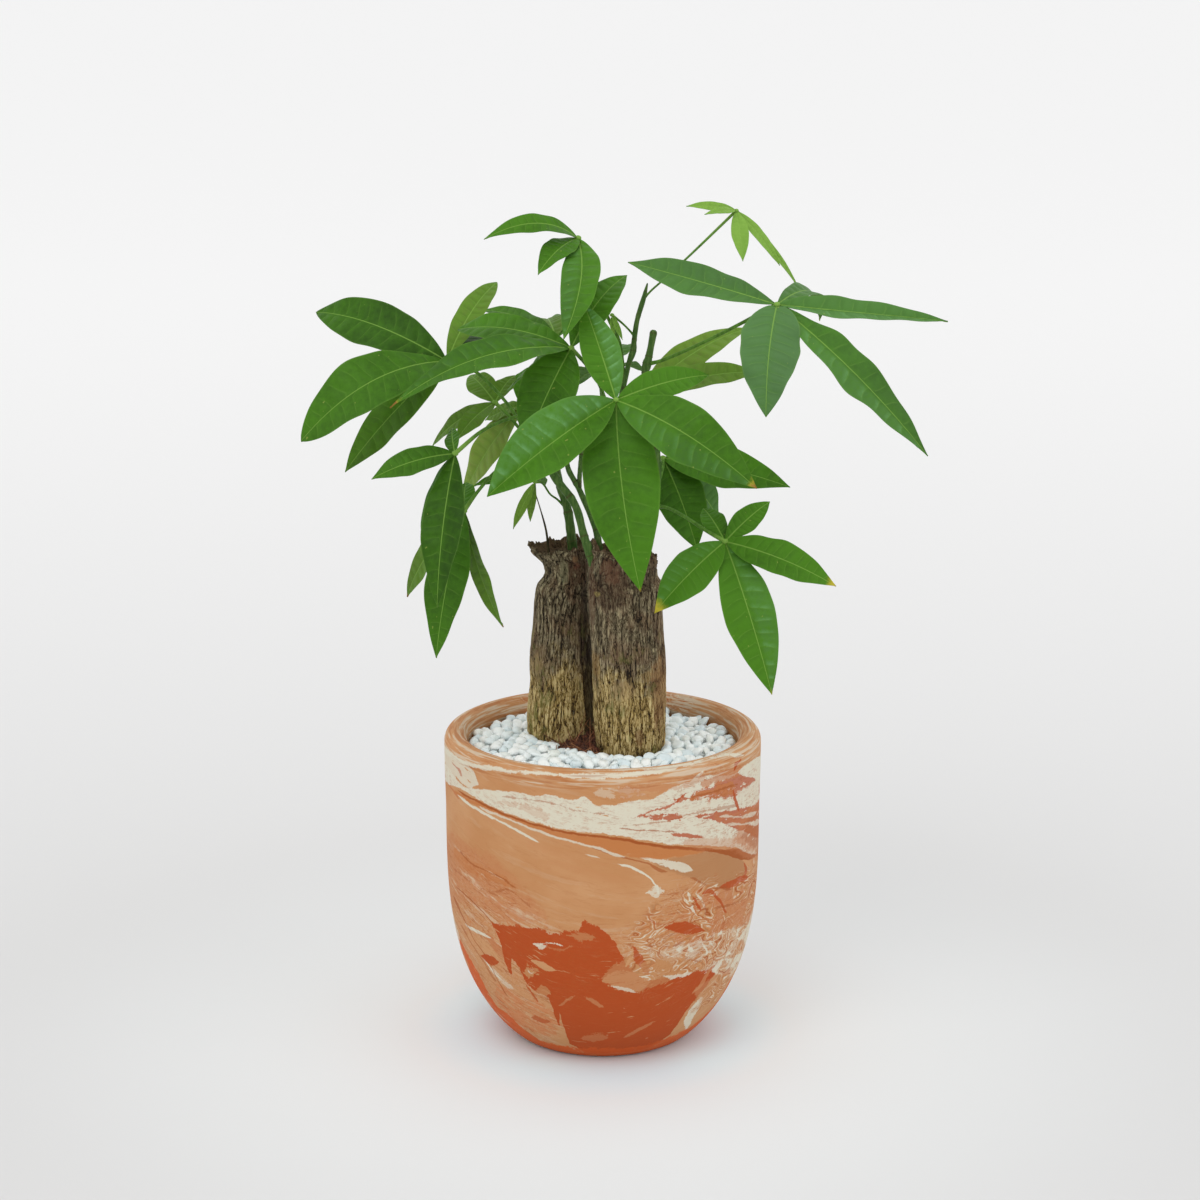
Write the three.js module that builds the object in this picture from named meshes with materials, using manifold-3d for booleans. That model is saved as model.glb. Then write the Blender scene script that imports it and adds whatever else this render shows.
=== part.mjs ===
// A young money tree in a marbled planter: pot, soil, pebbles, two cut trunks, green shoots, palmate leaves.
// Lengths are millimetres, +Z is up, the front is -Y, and the origin is the middle of the pot's foot.
import * as THREE from "three";
import { mergeVertices } from "three/addons/utils/BufferGeometryUtils.js";
import Module from "manifold-3d";

const wasm = await Module();
wasm.setup();

// ---------------------------------------------------------------- driving dimensions

const CLEARANCE = 0.3; // between pieces that touch
const BLADE_THICKNESS = 0.75;

const POT = {
  diameter: 180,
  height: 180,
  foot: 99, // diameter of the flat foot
  bellyHeight: 137, // the wall is upright above this
  bellyInset: 0.5, // how much slimmer the belly is than the rim
  curl: 3.4, // how quickly the wall leaves the foot
  fullness: 0.85, // how squarely it turns upright
  lip: 12.8, // wall thickness at the rounded lip
  wall: 10,
  floor: 11,
  facets: 36,
  drain: { diameter: 8, circle: 46, count: 3, facets: 12 },
};
const SOIL = { level: 161, facets: 24, mound: { at: [588, 738, 8], size: [9, 12, 16] } };
const PEBBLES = {
  bed: 165, // height of the layer's smooth core at the wall
  heap: 3, // how much higher it is at the trunks
  spacing: 13.2,
  size: 5.9, // half the width of a pebble at its foot
  height: 9,
  taper: 0.55, // width of a pebble's top as a share of its foot
  tilt: 0.35, // range of its tilt, in radians
  sunk: 3, // depth of its foot in the core
  seed: 11,
};
const TRUNK_ROOT = 126; // height of the trunks' buried ends
const SHOOT_SIDES = 7;
const STALK_SIDES = 5;

const FINISHES = {
  clay: { color: 0xc69064, roughness: 0.75 },
  soil: { color: 0x5b3524, roughness: 0.95 },
  pebble: { color: 0xe9ecee, roughness: 0.55 },
  bark: { color: 0x6b5a45, roughness: 0.9 },
  shoot: { color: 0x4f7a36, roughness: 0.55 },
  deadWood: { color: 0x6a5a48, roughness: 0.9 },
  leaf: { color: 0x2f8a2c, roughness: 0.45 },
  youngLeaf: { color: 0x63b53c, roughness: 0.45 },
};

// ---------------------------------------------------------------- sightings on the front view

// The front view is 1200 sightings wide and high. It is taken from `distance` in front of and a little above
// `aim`, looking down by `pitch`, and `focal` is its lens in the same units as the sightings.
const VIEW = { middle: 600, distance: 1550, focal: 2755, pitch: 13.4, aim: [-1.5, 0, 254] };

// The point of the front view's ray [across, down] whose distance behind the pot's axis is `depth`.
function sight(across, down, depth) {
  const pitch = THREE.MathUtils.degToRad(VIEW.pitch);
  const forward = new THREE.Vector3(0, Math.cos(pitch), -Math.sin(pitch));
  const up = new THREE.Vector3(0, Math.sin(pitch), Math.cos(pitch));
  const eye = new THREE.Vector3(...VIEW.aim).addScaledVector(forward, -VIEW.distance);
  const ray = forward.clone().addScaledVector(up, (VIEW.middle - down) / VIEW.focal);
  ray.x += (across - VIEW.middle) / VIEW.focal;
  return eye.addScaledVector(ray, (depth - eye.y) / ray.y);
}

const sights = (list) => list.map((place) => sight(...place));

// ---------------------------------------------------------------- the plant's places

// Each trunk's left and right outline at one height, as [left, right, down].
const TRUNKS = {
  trunk_left: {
    depth: 18,
    outline: [
      [544, 586, 549],
      [545, 587, 562],
      [540, 588, 576],
      [536, 588, 592],
      [533, 590, 622],
      [530, 592, 655],
      [531, 594, 680],
      [528, 596, 713],
      [530, 597, 745],
    ],
    horns: [
      { turn: 184, rise: 5, reach: 0.58 },
      { turn: 285, rise: 5, reach: 0.08 },
      { turn: 60, rise: 5, reach: 0.02 },
    ],
    seed: 3,
  },
  trunk_right: {
    depth: -10,
    outline: [
      [592, 652, 552],
      [590, 657, 566],
      [588, 662, 586],
      [590, 662, 622],
      [592, 665, 665],
      [594, 666, 700],
      [595, 666, 725],
      [597, 663, 752],
    ],
    horns: [
      { turn: 0, rise: 6, reach: 0.12 },
      { turn: 150, rise: 4, reach: 0.04 },
      { turn: 250, rise: 3, reach: 0.04 },
    ],
    seed: 8,
  },
};

// Each shoot is one or more limbs: places [across, down, depth] from the root up, with a radius at each.
const SHOOTS = {
  shoot_left: {
    root: "trunk_left",
    limbs: [
      {
        path: [
          [573, 552, 22],
          [571, 533, 21],
          [567, 507, 20],
          [560, 486, 18],
          [555, 458, 15],
          [552, 434, 12],
        ],
        radii: [2.9, 2.7, 2.5, 2.3, 2.1, 1.6],
      },
    ],
  },
  shoot_middle: {
    root: "trunk_right",
    limbs: [
      {
        path: [
          [594, 566, -14],
          [589, 551, -13],
          [584, 536, -12],
          [575, 505, -9],
          [555, 477, -5],
          [541, 450, -2],
          [536, 438, 0],
        ],
        radii: [2.6, 2.6, 2.3, 2.2, 2.3, 2.1, 1.7],
      },
    ],
  },
  shoot_dark: {
    root: "trunk_right",
    limbs: [
      {
        path: [
          [600, 558, -3],
          [598, 541, -3],
          [596, 530, -2],
          [579, 489, 0],
          [568, 468, 3],
          [566, 448, 6],
        ],
        radii: [1.9, 2.1, 1.8, 1.6, 1.5, 1.1],
      },
      { path: [[579, 489, 0], [580, 470, 1], [583, 448, 2], [592, 428, 3]], radii: [1.4, 1.3, 1.3, 1.3] },
    ],
  },
  shoot_tall: {
    root: "trunk_right",
    limbs: [
      {
        path: [
          [614, 556, 0],
          [613, 520, 3],
          [613, 470, 4],
          [618, 420, 4],
          [624, 384, 3],
          [629, 363, 3],
          [633, 351, 3],
          [634, 342, 3],
          [637, 321, 3],
          [644, 297, 3],
          [647.5, 283, 3],
        ],
        radii: [2.4, 2.2, 2.0, 1.8, 1.6, 1.5, 1.9, 1.5, 1.4, 1.3, 0.4],
      },
    ],
  },
  shoot_cut: {
    root: "trunk_right",
    limbs: [
      {
        path: [
          [643, 560, -8],
          [650, 520, -8],
          [657, 470, -7],
          [648, 404, -5],
          [645, 374, -4],
          [647, 364, -4],
          [649, 356, -4],
          [654, 330, -4],
        ],
        radii: [3.2, 2.9, 2.5, 2.1, 2.0, 2.6, 2.0, 1.9],
      },
    ],
  },
};

const DRY_TWIG = {
  root: "trunk_left",
  limbs: [
    {
      path: [[549, 557, 14], [548, 545, 14], [546, 530, 14], [540, 508, 13], [533, 486, 12]],
      radii: [0.9, 0.8, 0.9, 0.6, 0.4],
    },
  ],
};

// Each leaf: its stalk runs from the shoot it grows on to the hub, `face` is where its upper side looks, and
// each leaflet runs from the hub to its tip [across, down, depth]. `width` is in millimetres. `bow` is the
// rise of the midrib over its chord and `sway` its reach to one side, as shares of its length. `fold` and
// `roll` are degrees.
const LEAVES = {
  leaf_left_upper: {
    shoot: "shoot_middle",
    face: [-0.15, -0.75, 0.6],
    stalk: [[540, 448, -2], [526, 430, -10], [500, 395, -11], [470, 368, -17], [447, 361, -19]],
    leaflets: [
      { tip: [316, 312, 16], width: 29, bow: 0.14 },
      { tip: [301, 441, -50], width: 34, bow: 0.2 },
      { tip: [345, 472, -22], width: 24, bow: 0.06 },
      { tip: [497, 282, 18], width: 16, bow: 0.12 },
      { tip: [492, 350, 39], width: 18, bow: 0.2 },
    ],
  },
  leaf_left_front: {
    shoot: "shoot_dark",
    face: [0, -0.5, 0.86],
    stalk: [[592, 428, 3], [606, 412, -10], [599, 384, -31], [584, 362, -46], [571, 348, -53]],
    leaflets: [
      { tip: [458, 329, -24], width: 23, bow: 0.09 },
      { tip: [390, 407, -86], width: 25, bow: 0.1 },
      { tip: [526, 446, -70], width: 34, bow: 0.05 },
      { tip: [627, 275, -12], width: 21, bow: 0.12 },
      { tip: [506, 392, -17], width: 18, bow: 0.05 },
    ],
  },
  leaf_front: {
    shoot: "shoot_tall",
    face: [0, -0.85, 0.52],
    stalk: [[613, 470, 4], [612, 450, -14], [615, 425, -48], [616, 400, -74]],
    leaflets: [
      { tip: [487, 496.6, -110], width: 38, bow: 0.08, fold: 30 },
      { tip: [640.6, 592, -103], width: 42, bow: 0.07, sway: 0.045 },
      { tip: [757, 488.5, -101], width: 32, bow: 0.15 },
      { tip: [709, 375, -48], width: 18, bow: 0.1 },
      { tip: [584, 303, -46], width: 21, bow: 0.05 },
    ],
  },
  leaf_top: {
    shoot: "shoot_tall",
    face: [-0.2, -0.7, 0.7],
    stalk: [[624, 384, 3], [619, 341, 3], [609, 320, 0], [596, 287, -2], [592, 273, -4], [578, 238, -7]],
    leaflets: [
      { tip: [484, 239, -26], width: 14, bow: 0.22 },
      { tip: [538, 274, -36], width: 17, bow: 0.1 },
      { tip: [563.5, 339, -79], width: 22, bow: 0.04, sway: -0.07 },
    ],
  },
  leaf_right_upper: {
    shoot: "shoot_cut",
    face: [0.05, -0.6, 0.8],
    stalk: [[647, 364, -4], [660, 361, -7], [700, 344, -14], [738, 325, -23], [777, 304.5, -31]],
    leaflets: [
      { tip: [628, 262, -10], width: 25, bow: 0.01 },
      { tip: [766, 417, -60], width: 33, bow: 0.1, sway: 0.015 },
      { tip: [928, 456, -60], width: 24, bow: 0.05 },
      { tip: [948, 321, -5], width: 18, bow: 0, fold: 25 },
      { tip: [820, 320, 34], width: 16, bow: 0.18 },
    ],
  },
  leaf_young: {
    shoot: "shoot_tall",
    young: true,
    face: [0.1, -0.8, 0.6],
    stalk: [[637, 321, 3], [645, 298, 6], [663, 280, 9], [686, 259, 12], [736.5, 210.5, 13]],
    leaflets: [
      { tip: [686.5, 206, 3], width: 7, bow: 0.08 },
      { tip: [705, 214, -12], width: 6, bow: 0.05 },
      { tip: [743, 261, -5], width: 12, bow: 0.05 },
      { tip: [780, 265.5, 16], width: 8, bow: 0.08 },
      { tip: [799, 288, 29], width: 5, bow: 0.06 },
    ],
  },
  leaf_right_back: {
    shoot: "shoot_cut",
    face: [0.1, -0.55, 0.8],
    stalk: [[655, 445, -6], [652, 430, 5], [644, 408, 23], [640, 396, 32]],
    leaflets: [
      { tip: [748, 328, 73], width: 20, bow: 0.1, roll: 0 },
      { tip: [762, 372, 39], width: 20, bow: 0.08 },
      { tip: [690, 462, 47], width: 19, bow: 0.05 },
    ],
  },
  leaf_right_shade: {
    shoot: "shoot_cut",
    face: [0.1, -0.75, 0.6],
    stalk: [[655, 490, -7], [660, 478, 0], [663, 466, 10], [663, 458, 16]],
    leaflets: [
      { tip: [697, 549, -5], width: 29, bow: 0.08 },
      { tip: [719, 520, 44], width: 25, bow: 0.08 },
      { tip: [790, 487, -12], width: 26, bow: 0.06 },
    ],
  },
  leaf_right_low: {
    shoot: "shoot_cut",
    face: [0, -0.8, 0.6],
    stalk: [[652, 506, -8], [668, 508, -24], [690, 520, -41], [706.6, 531, -49], [725, 541.5, -55]],
    leaflets: [
      { tip: [770, 501.5, -36], width: 14, bow: 0.1 },
      { tip: [836, 586, -72], width: 21, bow: 0.1 },
      { tip: [772, 694.7, -84], width: 28, bow: 0.08 },
      { tip: [654.5, 613, -74], width: 24, bow: 0.1 },
      { tip: [703, 508, -29], width: 13, bow: 0.1 },
    ],
  },
  leaf_left_hanging: {
    shoot: "shoot_middle",
    face: [-0.35, -0.75, 0.55],
    stalk: [
      [547, 462, -4],
      [535, 436, -19],
      [521, 417, -26],
      [507, 419.5, -32],
      [482, 431, -46],
      [455, 453.5, -55],
    ],
    leaflets: [
      { tip: [371.5, 479, -67], width: 17, bow: 0.1 },
      { tip: [437, 607, -84], width: 24, bow: 0.05 },
      { tip: [452, 428, -31], width: 9, bow: 0.05 },
      { tip: [425, 560, -43], width: 16, bow: 0.05 },
    ],
  },
  leaf_left_low: {
    shoot: "shoot_middle",
    face: [-0.3, -0.7, 0.6],
    stalk: [[553, 474, -5], [530, 456, -8], [500, 468, -14], [479, 490, -18], [464, 511, -20]],
    leaflets: [
      { tip: [503, 627.5, -29], width: 18, bow: 0.05, roll: 40 },
      { tip: [436, 658, -43], width: 25, bow: 0.05 },
      { tip: [407, 597, 5], width: 17, bow: 0.08 },
      { tip: [466, 482, 3], width: 14, bow: 0.05 },
    ],
  },
  leaf_left_inner: {
    shoot: "shoot_middle",
    face: [-0.2, -0.6, 0.75],
    stalk: [[536, 438, 0], [532, 437, 12], [521, 430, 20], [509, 416, 21], [495, 402.6, 18]],
    leaflets: [
      { tip: [456.5, 440.5, 0], width: 14, bow: 0.1 },
      { tip: [432, 446, 31], width: 12, bow: 0.1 },
      { tip: [515, 375, 34], width: 12, bow: 0.1 },
      { tip: [470, 375, 47], width: 16, bow: 0.1 },
    ],
  },
  leaf_left_shade: {
    shoot: "shoot_left",
    face: [-0.1, -0.6, 0.75],
    stalk: [[552, 440, 12], [545, 428, 23], [532, 415, 34], [523, 405, 39]],
    leaflets: [
      { tip: [485, 420, 52], width: 12, bow: 0.05 },
      { tip: [462, 500, 60], width: 22, bow: 0.06 },
      { tip: [537, 364, 68], width: 18, bow: 0.08 },
      { tip: [560, 420, 104], width: 20, bow: 0.1 },
    ],
  },
  leaf_sprig: {
    shoot: "shoot_left",
    face: [-0.1, -0.5, 0.85],
    stalk: [[557, 470, 16], [545, 472, 23], [530, 478, 26]],
    leaflets: [
      { tip: [473, 486, 13], width: 9, bow: 0.08 },
      { tip: [500, 470, 65], width: 12, bow: 0.08 },
      { tip: [545, 486, 57], width: 10, bow: 0.08 },
    ],
  },
  leaf_sprout_low: {
    shoot: "shoot_left",
    young: true,
    face: [-0.3, -0.8, 0.4],
    stalk: [[566, 508, 20], [558, 500, 18], [550, 494, 10], [542, 483, 4], [535, 482, 0]],
    leaflets: [
      { tip: [513, 529, -7], width: 8, bow: 0.05 },
      { tip: [530, 521.6, 5], width: 7, bow: 0.05 },
    ],
  },
  leaf_back_left: {
    shoot: "shoot_dark",
    face: [-0.1, -0.2, 0.95],
    stalk: [[585, 442, 2], [579, 420, 16], [566, 380, 29], [556, 338, 39]],
    leaflets: [
      { tip: [479, 310.5, 55], width: 18, bow: 0.1 },
      { tip: [545, 322, 86], width: 17, bow: 0.12 },
      { tip: [592, 330, 114], width: 22, bow: 0.12 },
    ],
  },
  leaf_back: {
    shoot: "shoot_tall",
    face: [0.1, 0.35, 0.93],
    stalk: [[613, 476, 4], [610, 450, 21], [603, 410, 44], [600, 372, 57]],
    leaflets: [
      { tip: [632, 346, 109], width: 19, bow: 0.1 },
      { tip: [645, 372, 91], width: 16, bow: 0.1 },
      { tip: [600, 388, 127], width: 24, bow: 0.14 },
      { tip: [572, 388, 96], width: 17, bow: 0.1 },
    ],
  },
  leaf_sprout_high: {
    shoot: "shoot_tall",
    young: true,
    face: [-0.2, -0.6, 0.75],
    stalk: [[635, 337, 3], [630, 331, 3], [622, 323, 0], [612, 315, -2]],
    leaflets: [
      { tip: [622.6, 340, -7], width: 5, bow: 0.05 },
      { tip: [614, 336, -5], width: 5, bow: 0.05 },
    ],
  },
};

// ---------------------------------------------------------------- solids

// A repeatable random number from 0 to 1 at each call.
function randomFrom(seed) {
  let state = seed >>> 0;
  return () => {
    state = (state + 0x6d2b79f5) >>> 0;
    let mixed = Math.imul(state ^ (state >>> 15), 1 | state);
    mixed = (mixed + Math.imul(mixed ^ (mixed >>> 7), 61 | mixed)) ^ mixed;
    return ((mixed ^ (mixed >>> 14)) >>> 0) / 4294967296;
  };
}

function solidOf(geometry) {
  const bare = geometry.clone();
  bare.deleteAttribute("normal");
  bare.deleteAttribute("uv");
  const merged = mergeVertices(bare, 1e-4);
  return new wasm.Manifold(
    new wasm.Mesh({
      numProp: 3,
      vertProperties: merged.attributes.position.array,
      triVerts: new Uint32Array(merged.index.array),
    }),
  );
}

function geometryOf(solid) {
  const mesh = solid.getMesh();
  const geometry = new THREE.BufferGeometry();
  geometry.setAttribute("position", new THREE.BufferAttribute(mesh.vertProperties, 3));
  geometry.setIndex(new THREE.BufferAttribute(mesh.triVerts, 1));
  const faceted = geometry.toNonIndexed();
  faceted.computeVertexNormals();
  return faceted;
}

const joined = (solids) => solids.reduce((sum, solid) => sum.add(solid));

// The solid without the loose scraps that a cut leaves.
function largestOf(solid) {
  return solid.decompose().reduce((best, body) => (body.volume() > best.volume() ? body : best));
}

// A closed skin over rings of equally many points, seen anticlockwise from the first ring's outside end.
// From side `turned` on, the quads are split along the other diagonal, so that a thin blade is split alike
// on both faces. `ends` are the middle points of its two end fans.
function skin(rings, { turned = Infinity, ends } = {}) {
  const sides = rings[0].length;
  const points = rings.flat();
  const faces = [];
  for (let i = 0; i + 1 < rings.length; i++) {
    for (let j = 0; j < sides; j++) {
      const a = i * sides + j;
      const b = i * sides + ((j + 1) % sides);
      const [c, d] = [a + sides, b + sides];
      faces.push(...(j < turned ? [a, b, d, a, d, c] : [a, b, c, b, d, c]));
    }
  }
  const last = (rings.length - 1) * sides;
  const [start, stop] = [points.length, points.length + 1];
  points.push(...(ends ?? [middleOf(rings[0]), middleOf(rings[rings.length - 1])]));
  for (let j = 0; j < sides; j++) {
    faces.push(start, (j + 1) % sides, j);
    faces.push(stop, last + j, last + ((j + 1) % sides));
  }
  const geometry = new THREE.BufferGeometry().setFromPoints(points);
  geometry.setIndex(faces);
  return geometry;
}

function middleOf(ring) {
  return ring.reduce((sum, point) => sum.add(point), new THREE.Vector3()).divideScalar(ring.length);
}

function sampled(values, share) {
  const place = share * (values.length - 1);
  const low = Math.min(Math.floor(place), values.length - 2);
  return THREE.MathUtils.lerp(values[low], values[low + 1], place - low);
}

// A round limb along a smooth curve through the points, with its radius given at each point.
function limb(points, radii, { sides = STALK_SIDES, steps = points.length + 1, grow = 0 } = {}) {
  const curve = new THREE.CatmullRomCurve3(points, false, "centripetal");
  const { normals, binormals } = curve.computeFrenetFrames(steps, false);
  const rings = [];
  for (let i = 0; i <= steps; i++) {
    const share = curve.getUtoTmapping(i / steps);
    const radius = sampled(radii, share) + grow;
    const middle = curve.getPoint(share);
    const ring = [];
    for (let j = 0; j < sides; j++) {
      const turn = (2 * Math.PI * j) / sides;
      const point = middle.clone();
      point.addScaledVector(normals[i], radius * Math.cos(turn));
      point.addScaledVector(binormals[i], radius * Math.sin(turn));
      ring.push(point);
    }
    rings.push(ring);
  }
  return solidOf(skin(rings));
}

// ---------------------------------------------------------------- pot, soil and pebbles

// A profile of [radius, height] points, from the axis back to the axis, turned about +Z.
function turnedSolid(profile, facets) {
  const points = profile.map(([radius, height]) => new THREE.Vector2(radius, height));
  const geometry = new THREE.LatheGeometry(points, facets);
  geometry.rotateX(Math.PI / 2);
  return solidOf(geometry);
}

// The wall's outer radius: it curves out from the foot and is upright above the belly.
function potRadius(height) {
  const foot = POT.foot / 2;
  const belly = POT.diameter / 2 - POT.bellyInset;
  if (height >= POT.bellyHeight) {
    const share = (height - POT.bellyHeight) / (POT.height - POT.bellyHeight);
    return belly + POT.bellyInset * Math.min(1, 2 * share);
  }
  const below = 1 - height / POT.bellyHeight;
  return foot + (belly - foot) * (1 - below ** POT.curl) ** POT.fullness;
}

// The wall's inner radius, from the floor up. The wall grows to the lip's thickness over its top fifth.
function innerRadius(height) {
  const toLip = THREE.MathUtils.smoothstep(height, 0.8 * POT.height, POT.height - POT.lip / 2);
  return potRadius(height) - THREE.MathUtils.lerp(POT.wall, POT.lip, toLip);
}

const OUTER_HEIGHTS = [0.8, 3, 7.5, 15, 25, 38, 54, 74, 100, 137];
const INNER_HEIGHTS = [166, 150, 95, 60, 36, 21];

// The half circle of the lip, from its outer side over the top to its inner side.
function lipProfile() {
  const radius = POT.lip / 2;
  const profile = [];
  for (let turn = 0; turn <= 180; turn += 22.5) {
    const angle = THREE.MathUtils.degToRad(turn);
    const [out, up] = [radius * Math.cos(angle), radius * Math.sin(angle)];
    profile.push([POT.diameter / 2 - radius + out, POT.height - radius + up]);
  }
  return profile;
}

function drainSolid(turn) {
  const { diameter, circle, facets } = POT.drain;
  const hole = new THREE.CylinderGeometry(diameter / 2, diameter / 2, 3 * POT.floor, facets);
  hole.rotateX(Math.PI / 2);
  hole.translate((circle / 2) * Math.cos(turn), (circle / 2) * Math.sin(turn), 0);
  return solidOf(hole);
}

function potSolid() {
  const outside = [0, ...OUTER_HEIGHTS].map((height) => [potRadius(height), height]);
  const inside = INNER_HEIGHTS.map((height) => [innerRadius(height), height]);
  const floor = [[floorRadius(), POT.floor], [0, POT.floor]];
  const body = turnedSolid([[0, 0], ...outside, ...lipProfile(), ...inside, ...floor], POT.facets);
  const turns = Array.from({ length: POT.drain.count }, (_, i) => (2 * Math.PI * i) / POT.drain.count);
  return body.subtract(joined(turns.map(drainSolid)));
}

// The floor's radius inside the pot, where the wall runs into it in a chamfer.
function floorRadius() {
  return innerRadius(POT.floor) - POT.wall / 2;
}

// What fills the pot between two heights, clear of its wall, with its top `heap` higher in the middle.
function filling(bottom, top, heap = 0) {
  const clear = (radius) => (radius - CLEARANCE) * Math.cos(Math.PI / POT.facets);
  const heights = [...INNER_HEIGHTS.filter((height) => height > bottom && height < top).reverse(), top];
  const sides = heights.map((height) => [clear(innerRadius(height)), height]);
  const start = clear(bottom < POT.floor + 1 ? floorRadius() : innerRadius(bottom));
  return turnedSolid([[0, bottom], [start, bottom], ...sides, [0, top + heap]], SOIL.facets);
}

// The rise of soil that shows between the feet of the trunks.
function moundSolid(grow = 0) {
  const mound = new THREE.IcosahedronGeometry(1, 1);
  mound.scale(...SOIL.mound.size.map((half) => half + grow));
  const { x, y } = sight(...SOIL.mound.at);
  mound.translate(x, y, SOIL.level);
  return solidOf(mound);
}

function soilSolid(trunkRooms) {
  const soil = filling(POT.floor + CLEARANCE, SOIL.level).add(moundSolid());
  return soil.subtract(trunkRooms);
}

// A pebble is a five-sided stone that narrows upwards, of uneven width, turn and tilt. Its foot is at the
// origin.
function pebbleGeometry(random) {
  const pebble = new THREE.CylinderGeometry(PEBBLES.taper, 1, 1, 5);
  pebble.rotateX(Math.PI / 2);
  pebble.translate(0, 0, 0.5);
  const size = PEBBLES.size * (0.85 + 0.2 * random());
  const [long, broad, tall] = [1 + 0.15 * random(), 0.85 + 0.15 * random(), 0.8 + 0.25 * random()];
  pebble.scale(size * long, size * broad, PEBBLES.height * tall);
  pebble.rotateX(PEBBLES.tilt * (random() - 0.5));
  pebble.rotateY(PEBBLES.tilt * (random() - 0.5));
  pebble.rotateZ(2 * Math.PI * random());
  return pebble;
}

// Pebbles on a sunflower spiral over the whole layer, each jittered a little, higher at the trunks.
function pebblesSolid(trunkRooms) {
  const random = randomFrom(PEBBLES.seed);
  const reach = innerRadius(PEBBLES.bed) - CLEARANCE - 1.15 * PEBBLES.size;
  const count = Math.round((Math.PI * reach ** 2) / (0.87 * PEBBLES.spacing ** 2));
  const goldenTurn = Math.PI * (3 - Math.sqrt(5));
  const pieces = [filling(SOIL.level + CLEARANCE, PEBBLES.bed, PEBBLES.heap)];
  for (let i = 0; i < count; i++) {
    const radius = reach * Math.sqrt((i + 0.5) / count);
    const turn = i * goldenTurn + 0.2 * random();
    const heap = PEBBLES.heap * (1 - radius / reach);
    const pebble = pebbleGeometry(random);
    const foot = PEBBLES.bed - PEBBLES.sunk + heap + 0.8 * random();
    pebble.translate(radius * Math.cos(turn), radius * Math.sin(turn), foot);
    pieces.push(solidOf(pebble));
  }
  return largestOf(joined(pieces).subtract(trunkRooms).subtract(moundSolid(CLEARANCE)));
}

// ---------------------------------------------------------------- trunks and shoots

const BARK = {
  around: 20,
  rings: 13,
  folds: [5, 8, 13], // ridges around the trunk, in three sizes
  ridge: 0.021, // height of each as a share of the trunk's radius
  drift: 0.05, // how far the ridges wander, in radians for each millimetre of height
  ragged: 2.6, // unevenness of the torn top
  tuck: 0.04, // how much narrower the torn top is between its horns
  hornSharpness: 18,
  sunk: 2.5, // depth of the top's middle
  rootTaper: 0.8, // width of the buried end as a share of the foot
};

// The middle and half width of a trunk from its top to its buried end.
function trunkSections({ depth, outline }, grow) {
  const sections = outline.map(([left, right, down]) => {
    const [from, to] = [sight(left, down, depth), sight(right, down, depth)];
    return { middle: from.clone().lerp(to, 0.5), half: from.distanceTo(to) / 2 };
  });
  const foot = sections[sections.length - 1];
  const root = foot.middle.clone().setZ(TRUNK_ROOT - grow);
  return [...sections, { middle: root, half: BARK.rootTaper * foot.half }];
}

// Each section is round with lengthwise ridges. The top is ragged, with horns of torn bark, and sunk in its
// middle.
function trunkSolid(trunk, grow = 0) {
  const random = randomFrom(trunk.seed);
  const turns = Array.from({ length: BARK.around }, (_, j) => (2 * Math.PI * j) / BARK.around);
  const waves = BARK.folds.map((folds) => {
    return { folds, phase: 2 * Math.PI * random(), drift: BARK.drift * (random() - 0.5) };
  });
  const edge = turns.map((turn) => tornEdge(trunk.horns, turn, BARK.ragged * (random() - 0.4)));
  const sections = trunkSections(trunk, grow);
  const rings = [];
  for (let i = 0; i <= BARK.rings; i++) {
    const share = 1 - i / BARK.rings;
    const half = grow + sampled(sections.map((section) => section.half), share);
    const middle = new THREE.Vector3();
    for (const axis of ["x", "y", "z"]) {
      middle[axis] = sampled(sections.map((section) => section.middle[axis]), share);
    }
    const ring = turns.map((turn, j) => {
      const swell = waves.map((wave) => Math.cos(wave.folds * turn + wave.phase + wave.drift * middle.z));
      const { rise, reach } = i === BARK.rings ? edge[j] : { rise: 0, reach: 0 };
      const radius = half * (1 + reach + BARK.ridge * swell.reduce((sum, value) => sum + value));
      return new THREE.Vector3(radius * Math.cos(turn), radius * Math.sin(turn), rise).add(middle);
    });
    rings.push(ring);
  }
  const ends = [middleOf(rings[0]), middleOf(rings[BARK.rings])];
  ends[1].z -= BARK.sunk;
  return solidOf(skin(rings, { ends }));
}

// How far the torn top rises and reaches out at one turn, as the horns of bark are near or not.
function tornEdge(horns, turn, ragged) {
  const edge = { rise: ragged, reach: -BARK.tuck };
  for (const horn of horns) {
    const apart = Math.cos(turn - THREE.MathUtils.degToRad(horn.turn));
    const near = Math.max(0, apart) ** BARK.hornSharpness;
    edge.rise += horn.rise * near;
    edge.reach += horn.reach * near;
  }
  return edge;
}

function shootSolid({ limbs }, grow = 0) {
  return joined(limbs.map(({ path, radii }) => limb(sights(path), radii, { sides: SHOOT_SIDES, grow })));
}

// ---------------------------------------------------------------- leaves

const LONG_STATIONS = [0.12, 0.32, 0.55, 0.8, 1];
const SHORT_STATIONS = [0.25, 0.55, 0.85, 1];
const SHORT_LEAFLET = 45;
const LEAFLET = {
  sunk: 1.2, // where it leaves the hub
  root: 0.9, // half its width there
  tip: 0.45, // half its width at the tip
  fold: 10,
  wave: 0.1, // height of the margin's waves as a share of half the width
  ripple: 9, // radians of wave along the leaflet
};
const STALK_RADII = [1.5, 1.1, 1.05, 1.05, 1.5];
const YOUNG_STALK_RADII = [1.0, 0.75, 0.7, 0.75, 1.0];

// The blade's width along its midrib as a share of its widest: lance shaped, widest just past the middle.
function bladeShare(along) {
  const shifted = along ** 1.1;
  return (4 * shifted * (1 - shifted)) ** 0.8;
}

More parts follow.
